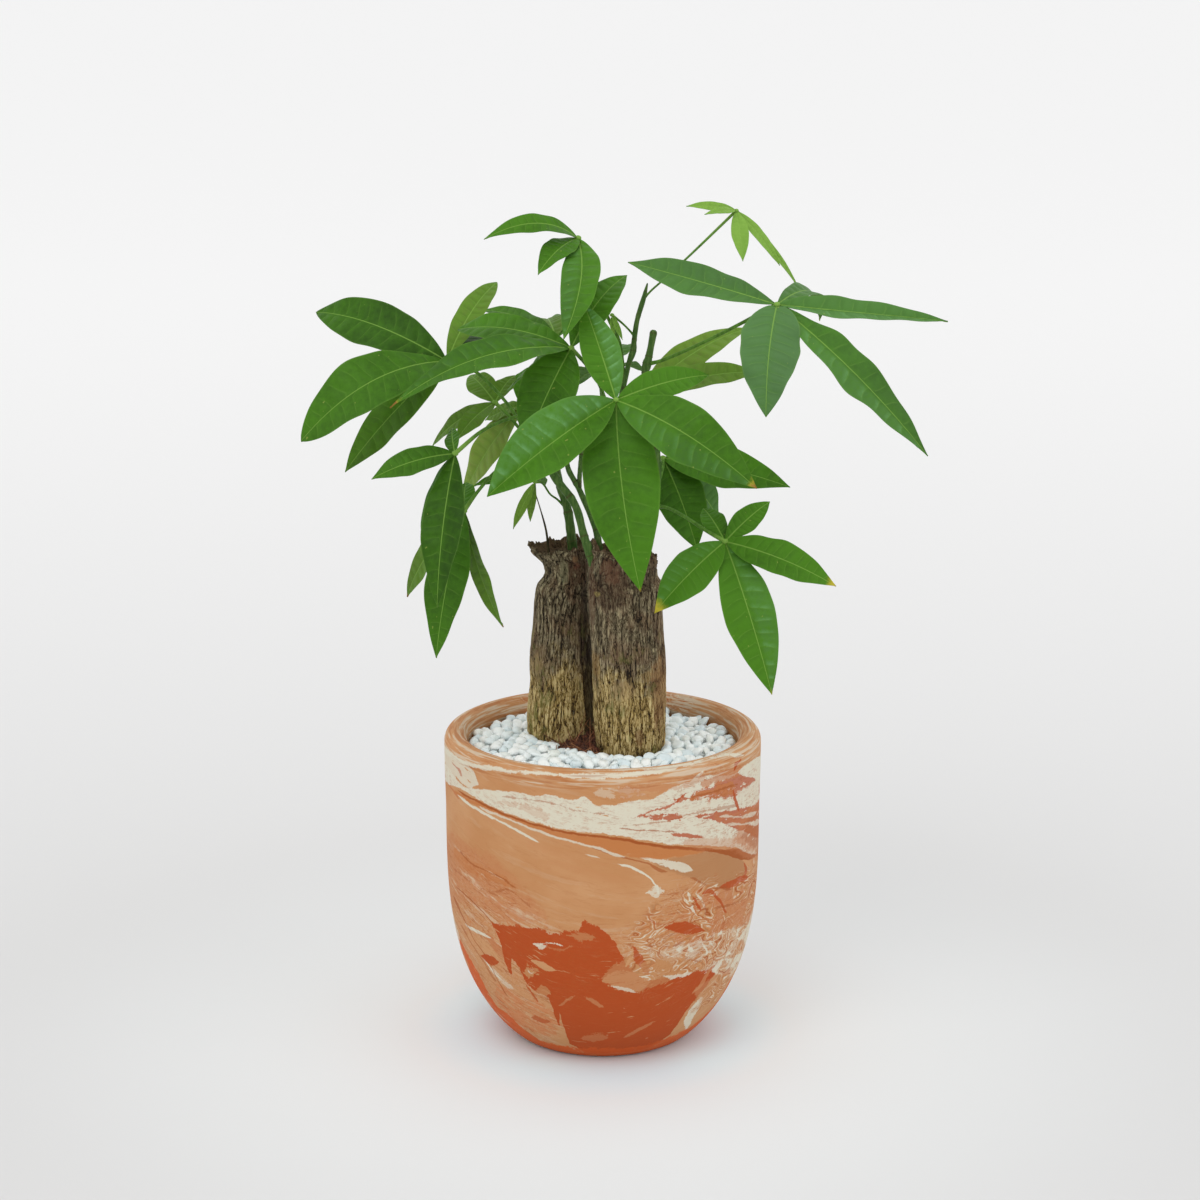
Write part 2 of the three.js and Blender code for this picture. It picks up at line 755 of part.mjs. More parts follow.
// A leaflet is a thin plate with a midrib crease. Its midrib bows above the chord from hub to tip and sways
// to one side of it, its two halves rise by `fold` from the crease, and its margins wave.
function leafletSolid(hub, face, leaflet, phase) {
  const { tip, width, bow = 0.08, sway = 0, fold = LEAFLET.fold, roll = 0 } = leaflet;
  const chord = sight(...tip).sub(hub);
  const length = chord.length();
  const along = chord.clone().normalize();
  const above = face.clone().addScaledVector(along, -face.dot(along)).normalize();
  above.applyAxisAngle(along, THREE.MathUtils.degToRad(roll));
  const side = along.clone().cross(above);
  const rise = THREE.MathUtils.degToRad(fold);
  const stations = length < SHORT_LEAFLET ? SHORT_STATIONS : LONG_STATIONS;
  const rings = [LEAFLET.sunk / length, ...stations].map((share) => {
    const least = THREE.MathUtils.lerp(LEAFLET.root, LEAFLET.tip, share);
    const half = Math.max((width / 2) * bladeShare(share), least);
    const middle = hub.clone().addScaledVector(chord, share);
    middle.addScaledVector(above, 4 * bow * length * share * (1 - share));
    middle.addScaledVector(side, 4 * sway * length * share * (1 - share));
    const margin = (sign) => {
      const wave = LEAFLET.wave * half * Math.sin(LEAFLET.ripple * share + phase + sign);
      const point = middle.clone().addScaledVector(side, sign * half * Math.cos(rise));
      return point.addScaledVector(above, half * Math.sin(rise) + wave);
    };
    const upper = [margin(-1), middle, margin(1)];
    const lower = upper.map((point) => point.clone().addScaledVector(above, -BLADE_THICKNESS)).reverse();
    return [...upper, ...lower];
  });
  return solidOf(skin(rings, { turned: 3 }));
}

function leafSolid({ face, stalk, leaflets, young }) {
  const path = sights(stalk);
  const radii = young ? YOUNG_STALK_RADII : STALK_RADII;
  const hub = path[path.length - 1];
  const facing = new THREE.Vector3(...face).normalize();
  const ball = new THREE.OctahedronGeometry(1.8 * radii[0], 0).translate(...hub.toArray());
  const blades = leaflets.map((leaflet, i) => leafletSolid(hub, facing, leaflet, 2.4 * i));
  return joined([limb(path, radii), solidOf(ball), ...blades]);
}

// ---------------------------------------------------------------- the potted plant

const group = new THREE.Group();
const materials = {};
for (const [finish, { color, roughness }] of Object.entries(FINISHES)) {
  materials[finish] = new THREE.MeshStandardMaterial({ color, roughness, metalness: 0 });
}

function place(name, solid, finish) {
  const mesh = new THREE.Mesh(geometryOf(solid), materials[finish]);
  mesh.name = name;
  group.add(mesh);
}

const stems = { ...SHOOTS, dry_twig: DRY_TWIG };
const trunkRooms = joined(Object.values(TRUNKS).map((trunk) => trunkSolid(trunk, CLEARANCE)));
place("pot", potSolid(), "clay");
place("soil", soilSolid(trunkRooms), "soil");
place("pebbles", pebblesSolid(trunkRooms), "pebble");
for (const [name, trunk] of Object.entries(TRUNKS)) {
  const rooted = Object.values(stems).filter((stem) => stem.root === name);
  const rooms = joined(rooted.map((stem) => shootSolid(stem, CLEARANCE)));
  place(name, trunkSolid(trunk).subtract(rooms), "bark");
}
for (const [name, stem] of Object.entries(stems)) {
  place(name, shootSolid(stem), stem === DRY_TWIG ? "deadWood" : "shoot");
}
for (const [name, leaf] of Object.entries(LEAVES)) {
  const room = shootSolid(SHOOTS[leaf.shoot], CLEARANCE);
  place(name, largestOf(leafSolid(leaf).subtract(room)), leaf.young ? "youngLeaf" : "leaf");
}

export default group;
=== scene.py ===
"""A young money tree in a marbled planter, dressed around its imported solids.

Lengths are metres, +Z is up and the front is -Y, as in the frame. The plant's places are sightings on
the front view, the same ones that its solids are built from.
"""
import math

import bpy
import numpy as np
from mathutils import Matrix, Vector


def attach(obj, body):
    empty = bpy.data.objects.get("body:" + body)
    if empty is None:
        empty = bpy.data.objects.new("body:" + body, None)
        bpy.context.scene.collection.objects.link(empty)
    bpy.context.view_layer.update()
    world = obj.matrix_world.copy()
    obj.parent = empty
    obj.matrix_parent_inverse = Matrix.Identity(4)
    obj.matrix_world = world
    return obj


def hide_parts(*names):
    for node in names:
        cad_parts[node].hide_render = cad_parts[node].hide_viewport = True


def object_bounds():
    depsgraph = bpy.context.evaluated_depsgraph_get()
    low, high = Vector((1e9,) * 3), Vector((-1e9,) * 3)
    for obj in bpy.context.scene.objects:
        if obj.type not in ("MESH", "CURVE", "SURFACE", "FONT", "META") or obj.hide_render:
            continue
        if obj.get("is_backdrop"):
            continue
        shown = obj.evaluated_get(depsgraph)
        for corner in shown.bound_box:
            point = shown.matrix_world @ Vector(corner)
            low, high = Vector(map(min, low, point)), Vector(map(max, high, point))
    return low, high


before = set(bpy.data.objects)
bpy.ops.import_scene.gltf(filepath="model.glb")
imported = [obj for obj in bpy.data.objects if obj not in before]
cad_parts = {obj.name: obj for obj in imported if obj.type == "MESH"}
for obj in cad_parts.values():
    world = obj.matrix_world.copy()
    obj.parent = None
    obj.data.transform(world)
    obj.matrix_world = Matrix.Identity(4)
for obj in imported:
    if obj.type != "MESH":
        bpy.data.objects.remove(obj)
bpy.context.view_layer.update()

bl_info = {
    "name": "Potted money tree",
    "version": (1, 0, 0),
    "blender": (4, 5, 0),
    "location": "View3D > Sidebar > Money tree",
    "description": "Builds a young money tree in a marbled planter, with its finishes, light and camera",
    "category": "Add Mesh",
}

MM = 0.001

# ---------------------------------------------------------------- sightings on the front view

# The front view is 1200 sightings wide and high. It is taken from `distance` in front of and a little
# above `aim`, looking down by `pitch`, and `focal` is its lens in the same units as the sightings.
VIEW = {
    "middle": 600, "distance": 1.55, "focal": 2755, "pitch": math.radians(13.4), "aim": (-0.0015, 0, 0.254),
}
FORWARD = np.array([0, math.cos(VIEW["pitch"]), -math.sin(VIEW["pitch"])])
UPWARD = np.array([0, math.sin(VIEW["pitch"]), math.cos(VIEW["pitch"])])
EYE = np.array(VIEW["aim"]) - VIEW["distance"] * FORWARD


def rays(across, down):
    """The ways from the eye through the sightings [across, down], each one step forward."""
    ways = FORWARD + UPWARD * ((VIEW["middle"] - down) / VIEW["focal"])[..., None]
    ways[..., 0] += (across - VIEW["middle"]) / VIEW["focal"]
    return ways


def sight(places):
    """The points of the rays through [across, down] that lie `depth` millimetres behind the axis."""
    across, down, depth = np.array(places, float).T
    ways = rays(across, down)
    return EYE + ways * ((MM * depth - EYE[1]) / ways[..., 1])[..., None]


# ---------------------------------------------------------------- the plant's places


def leaflet(
    tip, width, bow, sway=0, fold=10, roll=0, base=0.9, point=1.05, gold=0, brown=0, tone=0, pale=0, olive=0,
    sheen=0, wavy=1,
):
    """A leaflet's tip as a sighting, its width in millimetres, the rise and sideways reach of its midrib
    as shares of its length, the angles of its halves, how drawn out its base and its point are, how far
    its tip has turned yellow and brown, how much deeper, greyer or more olive its green is, the painted
    sheen on its left or right half, and how wavy its margin is."""
    return locals()


def palmate(face, stalk, *leaflets, tone=0, pale=0, olive=0):
    """A leaf: where its upper side looks, the sightings of its stalk from its shoot to its hub, the
    leaflets that stand around the hub, and how much deeper, greyer or more olive all of them are."""
    return locals()


# Each trunk stands `depth` millimetres behind the axis. Its outline has its left and right edge at one
# height, as [left, right, down], the horns of bark at its top are (turn in degrees, rise in millimetres,
# reach as a share of the radius, sharpness), and its knots are (turn in degrees, height and rise in
# millimetres, half width in degrees, half height in millimetres).
TRUNKS = {
    "trunk_left": {
        "depth": 18,
        "outline": [
            (533, 589, 547), (532.5, 589, 551), (537, 590, 556), (543.5, 590, 562), (545.5, 590, 570),
            (543, 590, 577), (537.5, 590, 584), (535, 590, 594), (533, 591, 622),
            (530, 592, 655), (531, 594, 680), (528, 596, 713), (530, 597, 745),
        ],
        "horns": [(180, 1, 0.08, 4), (290, 3, 0.08, 12), (60, 3, 0.02, 12)],
        "knots": [(296, 278, 2, 9, 2.2), (300, 273.5, 1.6, 8, 2), (250, 268, 0.8, 14, 6)],
        "seed": 3,
    },
    "trunk_right": {
        "depth": -10,
        "outline": [
            (591, 657, 551), (589, 657.5, 566), (588, 658, 577), (588, 661.5, 588), (590, 662, 622),
            (592, 665, 665), (594, 666, 700), (595, 666, 725), (597, 663, 752),
        ],
        "horns": [(350, -3, 0, 3), (180, 4, 0.02, 10), (225, 3, 0.03, 12)],
        "knots": [
            (355, 264.5, 3.4, 8, 4.5), (219, 263.7, 1.3, 6, 2), (235, 274, 1.2, 9, 3), (280, 190, 1, 12, 5),
        ],
        "seed": 8,
    },
}
TRUNK_ROOT = 0.126
TRUNK_ROWS, TRUNK_COLUMNS, TORN_ROWS = 224, 400, 14
# How far up the trunk its torn top starts and is fully torn, as shares of the trunk.
TORN_FROM = (1 - 1 / 8.5, 1 - 1 / 34)
SPLINTERS = 30

# The wall's power curve below its belly, and how far the rim stands out from the belly.
POT_CURL, POT_FULLNESS, POT_INSET = 3.4, 0.85, 0.0005
POT_COLUMNS = 360
# The planter's inner floor, and where its inner wall turns to it, in wall thicknesses above the table.
FLOOR_RISE, TURN_RISE = 1.1, 2
# The number and width of the drain holes, the width of their circle, and the heights they are bored between.
DRAIN_HOLES, DRAIN_HOLE, DRAIN_CIRCLE, DRAIN_REACH = 3, 0.008, 0.046, (-0.01, 0.03)
# The gap that pieces in the pot keep to its wall.
CLEARANCE = 0.3 * MM
# The nearest and furthest distance from the eye at which its rays meet the wall, and the steps between them.
WALL_STEPS = (1.4, 1.75, 3000)
# A marbling curve covers this many degrees of the wall. Past its ends it runs on by this share and drops
# by these millimetres, and what OFF_CURVE is added to is off every curve.
FRONT_SPAN, CURVE_END_RUN, CURVE_END_DROP, OFF_CURVE = 220, 0.02, 6, 9
TRAIL_POINT = 0.15
PAINTS = ("clay", "slip", "rust", "blush", "line", "glow", "ember", "amber", "shadow")
LEAF_GLOSS, CLAY_GLOSS, BARK_GLOSS = 0.09, 0.12, 0.2

SOIL_LEVEL, SOIL_COLUMNS = 0.161, 160
# Mounds of coir between the trunks' feet, as (sighting, half widths and height).
MOUNDS = [
    ((581.5, 742, -7), (0.0115, 0.0135, 0.0142)), ((589, 737, 9), (0.0115, 0.012, 0.0142)),
    ((587, 749, -20), (0.0105, 0.01, 0.0135)), ((569, 746, -12), (0.009, 0.008, 0.013)),
    ((596, 744, -5), (0.008, 0.009, 0.0132)),
]
MOUND_ROWS, MOUND_COLUMNS, MOUND_FIBRES = 40, 60, 260
# How far in front of each foot the pebbles stay clear, how much the bed rises to its middle, and its
# layers of pebbles, as (drop in half pebbles, spacing in pebbles).
FOOT_GAP = 6.5 * MM
BED_HEAP = 2.5 * MM
PEBBLE_LAYERS = ((2.5, 1.1), (1.15, 0.95), (0, 0.97))

# The size of one sighting at the pot's axis.
SIGHTING = 0.5625 * MM
# The heights between which the bark turns from its upper to its lower kind.
BARK_LINE = (0.224, 0.202)
PATCH_DEPTH = 14 * MM

SHOOT_ROWS, NODE_SPACING = 150, 17 * MM
# How brown and corky a shoot is at its root.
SHOOT_AGES = {"shoot_dark": 0.42, "shoot_cut": 0.35, "dry_twig": 2, "shoot_left": 0.45, "shoot_middle": 0.3}
YOUNG_SHOOT = 0.2

BLADE_ROWS, BLADE_COLUMNS, STALK_ROWS = 64, 17, 60
YOUNG = {"leaf_young", "leaf_sprout_low", "leaf_sprout_high"}
# A stalk's radius in millimetres at even steps from its shoot to its hub.
STALK_RADII = {"leaf": [1.35, 0.95, 0.9, 0.95, 1.25], "young_leaf": [0.9, 0.6, 0.55, 0.6, 0.85]}

# Each light's name, place, power and colour.
LIGHTS = [("key", (-0.7, -1.4, 2.1), 12, (1, 0.99, 0.97)), ("fill", (1.6, -0.9, 1.1), 4, (0.98, 0.99, 1))]
LIGHT_SIZE, LIT_POINT, SKY_STRENGTH, SENSOR = 1.6, (0, 0, 0.2), 0.95, 36
FLOOR_RADIUS, FLOOR_ROWS = 60, 60

# Each shoot is one or more limbs of places [across, down, depth, radius] from the root up.
SHOOTS = {
    "shoot_left": [
        [(573, 552, 22, 2.9), (571, 533, 21, 2.7), (567, 507, 20, 2.5), (560, 486, 18, 2.3),
         (555, 458, 15, 2.1), (552, 434, 12, 1.6)],
    ],
    "shoot_middle": [
        [(594, 566, -14, 2.6), (589, 551, -13, 2.6), (584, 536, -12, 2.3), (575, 505, -9, 2.2),
         (555, 477, -5, 2.3), (541, 450, -2, 2.1), (536, 438, 0, 1.7)],
    ],
    "shoot_dark": [
        [(600, 558, -3, 1.9), (598, 541, -3, 2.1), (596, 530, -2, 1.8), (579, 489, 0, 1.6),
         (568, 468, 3, 1.5), (566, 448, 6, 1.1)],
        [(579, 489, 0, 1.4), (580, 470, 1, 1.3), (583, 448, 2, 1.3), (592, 428, 3, 1.3)],
    ],
    "shoot_tall": [
        [(614, 556, 0, 2.4), (613, 520, 3, 2.2), (613, 470, 4, 2), (618, 420, 4, 1.8), (624, 384, 3, 1.6),
         (629, 363, 3, 1.5), (633, 351, 3, 1.9), (634, 342, 3, 1.5), (637, 321, 3, 1.4), (644, 297, 3, 1.3),
         (647.5, 283, 3, 0.4)],
    ],
    "shoot_cut": [
        [(643, 560, -8, 3.2), (650, 520, -8, 2.9), (657, 470, -7, 2.5), (648, 404, -5, 2.1),
         (645, 374, -4, 2), (647, 364, -4, 2.6), (649, 356, -4, 2), (654, 330, -4, 1.9)],
    ],
    "dry_twig": [
        [(549, 557, 14, 0.8), (548, 545, 14, 0.7), (546, 530, 14, 0.6), (540, 508, 13, 0.35),
         (533, 486, 12, 0.25)],
    ],
}

# The leaves, whose stalks start on their shoots.
LEAVES = {
    "leaf_left_upper": palmate(
        (-0.15, -0.75, 0.6),
        [(540, 448, -2), (526, 430, -10), (500, 395, -11), (470, 368, -17), (447, 361, -19)],
        leaflet((316, 312, 16), 29, 0.14, base=0.85, point=0.85, tone=0.35),
        leaflet((301, 441, -50), 34, 0.2, base=0.95, point=0.75, tone=-0.1),
        leaflet((345, 472, -22), 24, 0.06, tone=-0.15, olive=0.12),
        leaflet((497, 282, 18), 16, 0.12, point=0.8, tone=-0.1, olive=0.4),
        leaflet((492, 350, 39), 18, 0.2, tone=0.6),
        tone=0.3,
    ),
    "leaf_left_front": palmate(
        (0, -0.5, 0.86),
        [(592, 428, 3), (606, 412, -10), (599, 384, -31), (584, 362, -46), (571, 348, -53)],
        leaflet((458, 329, -24), 23, 0.09, point=0.65, tone=0.25),
        leaflet((390, 407, -86), 25, 0.13, point=1.3, tone=0.2, sheen=0.12, brown=0.05, gold=0.08,
            wavy=1.6),
        leaflet((526, 446, -70), 34, 0.05, tone=0.3),
        leaflet((627, 275, -12), 21, 0.12, tone=0.1),
        leaflet((506, 392, -17), 18, 0.05, tone=-0.3),
        tone=0.05,
    ),
    "leaf_front": palmate(
        (0, -0.85, 0.52),
        [(613, 470, 4), (612, 450, -14), (615, 425, -48), (616, 400, -74)],
        leaflet((487, 496.6, -110), 38, 0.08, fold=30, point=0.95, tone=0.1, sheen=0.75, wavy=0.6),
        leaflet((640.6, 592, -103), 41, 0.07, sway=0.03, base=0.75, point=1.1, brown=0.035, gold=0.06,
            wavy=0.6),
        leaflet((757, 488.5, -101), 32, 0.15, point=1.05, tone=0.3, sheen=0.25, gold=0.06, brown=0.02),
        leaflet((709, 375, -48), 18, 0.1, tone=0.2),
        leaflet((584, 303, -46), 21, 0.05, sheen=0.9),
        tone=-0.05,
    ),
    "leaf_top": palmate(
        (-0.2, -0.7, 0.7),
        [(624, 384, 3), (619, 341, 3), (609, 320, 0), (596, 287, -2), (592, 273, -4), (578, 238, -7)],
        leaflet((484, 239, -26), 14, 0.22),
        leaflet((538, 274, -36), 17, 0.1),
        leaflet((563.5, 339, -79), 22, 0.04, sway=-0.07, tone=0.1, sheen=0.3),
    ),
    "leaf_right_upper": palmate(
        (0.05, -0.6, 0.8),
        [(647, 364, -4), (660, 361, -7), (700, 344, -14), (738, 325, -23), (777, 304.5, -31)],
        leaflet((628, 262, -10), 25, 0.01, base=1.1),
        leaflet((766, 417, -60), 33, 0.1, sway=0.03, base=0.6, point=0.95, pale=0.3, wavy=2),
        leaflet((928, 456, -60), 24, 0.05, pale=-0.25, sheen=0.4, wavy=2.6),
        leaflet((948, 321, -5), 18, 0, fold=25, base=0.8, point=1.1, tone=-0.2, sheen=0.5, wavy=1.4),
        leaflet((820, 320, 34), 16, 0.18, gold=0.05),
        tone=0.25, pale=0.45,
    ),
    "leaf_young": palmate(
        (0.1, -0.8, 0.6),
        [(637, 321, 3), (645, 298, 6), (663, 280, 9), (686, 259, 12), (736.5, 210.5, 13)],
        leaflet((686.5, 206, 3), 5.7, 0.08),
        leaflet((705, 214, -12), 4.9, 0.05),
        leaflet((743, 261, -5), 9.8, 0.05),
        leaflet((780, 265.5, 16), 6.6, 0.08),
        leaflet((799, 288, 29), 4.1, 0.06),
    ),
    "leaf_right_back": palmate(
        (0.1, -0.55, 0.8),
        [(655, 445, -6), (652, 430, 5), (644, 408, 23), (640, 396, 32)],
        leaflet((748, 328, 73), 20, 0.1, olive=0.6),
        leaflet((762, 372, 39), 20, 0.08, olive=0.45),
        leaflet((690, 462, 47), 19, 0.05, tone=0.35),
    ),
    "leaf_right_shade": palmate(
        (0.1, -0.75, 0.6),
        [(655, 490, -7), (660, 478, 0), (663, 466, 10), (663, 458, 16)],
        leaflet((697, 549, -5), 29, 0.08, tone=-0.1),
        leaflet((719, 520, 44), 25, 0.08, tone=-0.3, pale=0.3),
        leaflet((790, 487, -12), 26, 0.06, tone=-0.5),
        tone=0.5,
    ),
    "leaf_right_low": palmate(
        (0, -0.8, 0.6),
        [(652, 506, -8), (668, 508, -24), (690, 520, -41), (706.6, 531, -49), (725, 541.5, -55)],
        leaflet((770, 501.5, -36), 14, 0.1),
        leaflet((836, 586, -72), 21, 0.1, tone=-0.15, gold=0.1, brown=0.02, wavy=1.5),
        leaflet((772, 694.7, -84), 28, 0.08, tone=-0.1, sheen=-0.5, gold=0.04),
        leaflet((654.5, 613, -74), 24, 0.1, tone=-0.1, sheen=0.3, gold=0.12),
        leaflet((703, 508, -29), 13, 0.1, tone=0.3),
        tone=-0.05,
    ),
    "leaf_left_hanging": palmate(
        (-0.35, -0.75, 0.55),
        [(547, 462, -4), (535, 436, -19), (521, 417, -26), (507, 419.5, -32), (482, 431, -46),
         (455, 453.5, -55)],
        leaflet((371.5, 479, -67), 17, 0.1),
        leaflet((437, 607, -84), 24, 0.05, tone=0.25),
        leaflet((452, 428, -31), 9, 0.05),
        leaflet((425, 560, -43), 16, 0.05, pale=0.4),
        tone=0.35,
    ),
    "leaf_left_low": palmate(
        (-0.3, -0.7, 0.6),
        [(553, 474, -5), (530, 456, -8), (500, 468, -14), (479, 490, -18), (464, 511, -20)],
        leaflet((503, 627.5, -29), 15, 0.05, roll=40, olive=0.4, brown=0.03),
        leaflet((436, 658, -43), 25, 0.05),
        leaflet((407, 597, 5), 17, 0.08, olive=0.35, brown=0.05),
        leaflet((466, 482, 3), 14, 0.05),
        tone=0.2,
    ),
    "leaf_left_inner": palmate(
        (-0.2, -0.6, 0.75),
        [(536, 438, 0), (532, 437, 12), (521, 430, 20), (509, 416, 21), (495, 402.6, 18)],
        leaflet((456.5, 440.5, 0), 14, 0.1),
        leaflet((432, 446, 31), 12, 0.1),
        leaflet((515, 375, 34), 12, 0.1),
        leaflet((470, 375, 47), 16, 0.1),
        tone=0.2, olive=0.35,
    ),
    "leaf_left_shade": palmate(
        (-0.1, -0.6, 0.75),
        [(552, 440, 12), (545, 428, 23), (532, 415, 34), (523, 405, 39)],
        leaflet((485, 420, 52), 12, 0.05, olive=0.5),
        leaflet((462, 500, 60), 22, 0.06, olive=0.95),
        leaflet((537, 364, 68), 18, 0.08),
        leaflet((560, 420, 104), 20, 0.1),
        tone=-0.4,
    ),
    "leaf_sprig": palmate(
        (-0.1, -0.5, 0.85),
        [(557, 470, 16), (545, 472, 23), (530, 478, 26)],
        leaflet((473, 486, 13), 9, 0.08),
        leaflet((500, 470, 65), 12, 0.08),
        leaflet((545, 486, 57), 10, 0.08),
        tone=0.4,
    ),
    "leaf_sprout_low": palmate(
        (-0.3, -0.8, 0.4),
        [(566, 508, 20), (558, 500, 18), (550, 494, 10), (542, 483, 4), (535, 482, 0)],
        leaflet((513, 529, -7), 6, 0.05, olive=0.5),
        leaflet((530, 521.6, 5), 5.5, 0.05, olive=0.5),
        tone=1.1,
    ),
    "leaf_back_left": palmate(
        (-0.1, -0.2, 0.95),
        [(585, 442, 2), (579, 420, 16), (566, 380, 29), (556, 338, 39)],
        leaflet((479, 310.5, 55), 18, 0.1),
        leaflet((545, 322, 86), 17, 0.12, olive=0.3, gold=0.3),
        leaflet((592, 330, 114), 22, 0.12),
        tone=0.5,
    ),
    "leaf_back": palmate(
        (0.1, 0.35, 0.93),
        [(613, 476, 4), (610, 450, 21), (603, 410, 44), (600, 372, 57)],
        leaflet((632, 346, 109), 19, 0.1),
        leaflet((645, 372, 91), 16, 0.1),
        leaflet((600, 388, 127), 24, 0.14),
        leaflet((572, 388, 96), 17, 0.1),
        tone=0.4,
    ),
    "leaf_sprout_high": palmate(
        (-0.2, -0.6, 0.75),
        [(635, 337, 3), (630, 331, 3), (622, 323, 0), (612, 315, -2)],
        leaflet((622.6, 340, -7), 3.2, 0.05),
        leaflet((614, 336, -5), 3.2, 0.05),
    ),
}

# ---------------------------------------------------------------- sizes and colours that a user would change


def linear(code):
    """The linear red, green and blue of a screen colour written as six hexadecimal digits."""
    parts = [int(code[i : i + 2], 16) / 255 for i in (0, 2, 4)]
    return tuple(p / 12.92 if p <= 0.04045 else ((p + 0.055) / 1.055) ** 2.4 for p in parts)


def colour(name, words, code):
    """A colour that a user would change."""
    return bpy.props.FloatVectorProperty(
        name=name, description=words, subtype="COLOR", size=3, min=0, max=1, default=linear(code)
    )


def measure(name, words, value):
    """A length in metres that a user would change."""
    settings = {"name": name, "description": words, "default": value}
    return bpy.props.FloatProperty(subtype="DISTANCE", unit="LENGTH", **settings)


class PotSettings(bpy.types.PropertyGroup):
    width: measure("Width", "Width of the planter at its rim", 0.18)
    height: measure("Height", "Height of the planter", 0.18)
    foot: measure("Foot", "Width of the flat foot", 0.099)
    belly: measure("Belly", "Height above which the wall is upright", 0.137)
    lip: measure("Lip", "Thickness of the rounded lip", 0.0128)
    wall: measure("Wall", "Thickness of the wall and nearly that of the floor", 0.01)
    clay: colour("Clay", "The planter's tan ground", "C08A5C")
    slip: colour("Slip", "The cream streaks", "D8D2BE")
    rust: colour("Rust", "The burnt orange patches", "B04A1E")
    blush: colour("Blush", "The pinkish streaks", "BE7A50")
    line: colour("Line", "The thin dark lines", "A05428")
    glow: colour("Glow", "The lighter tan clouds", "C8966A")
    ember: colour("Ember", "The bright orange foot", "CC5A26")
    amber: colour("Amber", "The burnt tan under the cream streak", "BE7743")
    shadow: colour("Shadow", "The darker tan of the smooth oval", "AD7C54")


class PlantSettings(bpy.types.PropertyGroup):
    blade: measure("Blade", "Thickness of a leaf blade", 0.00042)
    young_bark: colour("Young bark", "Ridges of the upper bark", "897D64")
    old_bark: colour("Old bark", "Ridges of the lower bark", "BCA570")
    furrow: colour("Furrow", "Furrows of the bark", "2A211A")
    leaf: colour("Leaf", "A grown leaf's upper side", "487A1B")
    shade: colour("Leaf shade", "The darkest grown leaf", "2B4C12")
    sprout: colour("Sprout", "A young leaf", "80AA47")
    vein: colour("Vein", "Veins and leaf stalks", "86AE4E")
    underside: colour("Underside", "A grown leaf's lower side", "5A8040")
    # a greyer green, partly the leaves' own colour and partly painted sheen on glossy leaves
    paler: colour("Paler leaf", "A leaf with a grey bloom", "5A8050")
    shoot: colour("Shoot", "The shoots' green", "45652F")


class BedSettings(bpy.types.PropertyGroup):
    pebble: measure("Pebble", "Width of a pebble", 0.0078)
    level: measure("Level", "Height of the pebbles' tops", 0.1726)
    stone: colour("Stone", "The pebbles", "F4FBFB")
    soil: colour("Soil", "The soil between the trunks", "5A3020")


class StageSettings(bpy.types.PropertyGroup):
    under: colour("Floor under", "The floor at the planter's foot", "DFEFF5")
    beside: colour("Floor beside", "The floor around the planter", "E6E9EA")
    near: colour("Near floor", "The floor in front", "D4D4D4")
    far: colour("Far floor", "The floor in the distance", "F9F9F9")


# ---------------------------------------------------------------- surfaces


class Shape:
    """Surfaces gathered for one piece. Each is a grid of points, closed around its rows, with its two end
    rows capped by a fan, and carries the values that its finish reads."""

    def __init__(self):
        self.size = 0
        self.points = []
        self.faces = ([], [])
        self.finishes = ([], [])
        self.values = {}

    def add(self, grids, finish=0, **values):
        """Adds grids of shape (rows, columns, 3), or many alike as (count, rows, columns, 3)."""
        grids = np.asarray(grids, float)
        grids = grids.reshape(-1, *grids.shape[-3:])
        count, rows, columns = grids.shape[:3]
        self.points.append(self.with_ends(grids))
        cells = np.arange((rows - 1) * columns)
        beside = cells - cells % columns + (cells + 1) % columns
        quads = np.stack([cells, beside, beside + columns, cells + columns], -1)
        first = np.arange(columns)
        second = (first + 1) % columns
        last = (rows - 1) * columns
        start = np.full(columns, rows * columns)
        fans = np.concatenate(
            [np.stack([start, second, first], -1), np.stack([start + 1, last + first, last + second], -1)]
        )
        starts = self.size + (rows * columns + 2) * np.arange(count)[:, None, None]
        for kind, faces in enumerate((quads, fans)):
            self.faces[kind].append((faces + starts).reshape(-1, faces.shape[1]))
            self.finishes[kind].append(np.full(len(faces) * count, finish))
        for name, value in values.items():
            grid = np.broadcast_to(np.asarray(value, float), grids.shape[:3])[..., None]
            self.values.setdefault(name, []).append((self.size, self.with_ends(grid)[:, 0]))
        self.size += count * (rows * columns + 2)

    @staticmethod
    def with_ends(grids):
        """Each grid's rows in one list, followed by the middles of its first and last row."""
        ends = np.stack([grids[:, 0].mean(1), grids[:, -1].mean(1)], 1)
        flat = grids.reshape(len(grids), -1, grids.shape[-1])
        return np.concatenate([flat, ends], 1).reshape(-1, grids.shape[-1])

    def mesh(self, name, finishes, sharp):
        """Everything gathered, as one smooth mesh with sharp edges above the angle."""
        mesh = bpy.data.meshes.new(name)
        quads, fans = (np.concatenate(kept) for kept in self.faces)
        mesh.from_pydata(np.concatenate(self.points), [], quads.tolist() + fans.tolist())
        mesh.polygons.foreach_set("use_smooth", np.ones(len(quads) + len(fans), bool))
        mesh.polygons.foreach_set("material_index", np.concatenate(self.finishes[0] + self.finishes[1]))
        mesh.set_sharp_from_angle(angle=sharp)
        for value, blocks in self.values.items():
            filled = np.zeros(self.size, np.float32)
            for start, block in blocks:
                filled[start : start + len(block)] = block
            mesh.attributes.new(value, "FLOAT", "POINT").data.foreach_set("value", filled)
        for finish in finishes:
            mesh.materials.append(finish)
        return mesh

    def piece(self, name, slot, finishes, *nodes, sharp=math.radians(60)):
        """Makes the piece, which stands for the nodes, with the finishes given. Its slot is not used."""
        made = placed(name, self.mesh(name, finishes, sharp))
        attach(made, "root")
        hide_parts(*nodes)
        return made


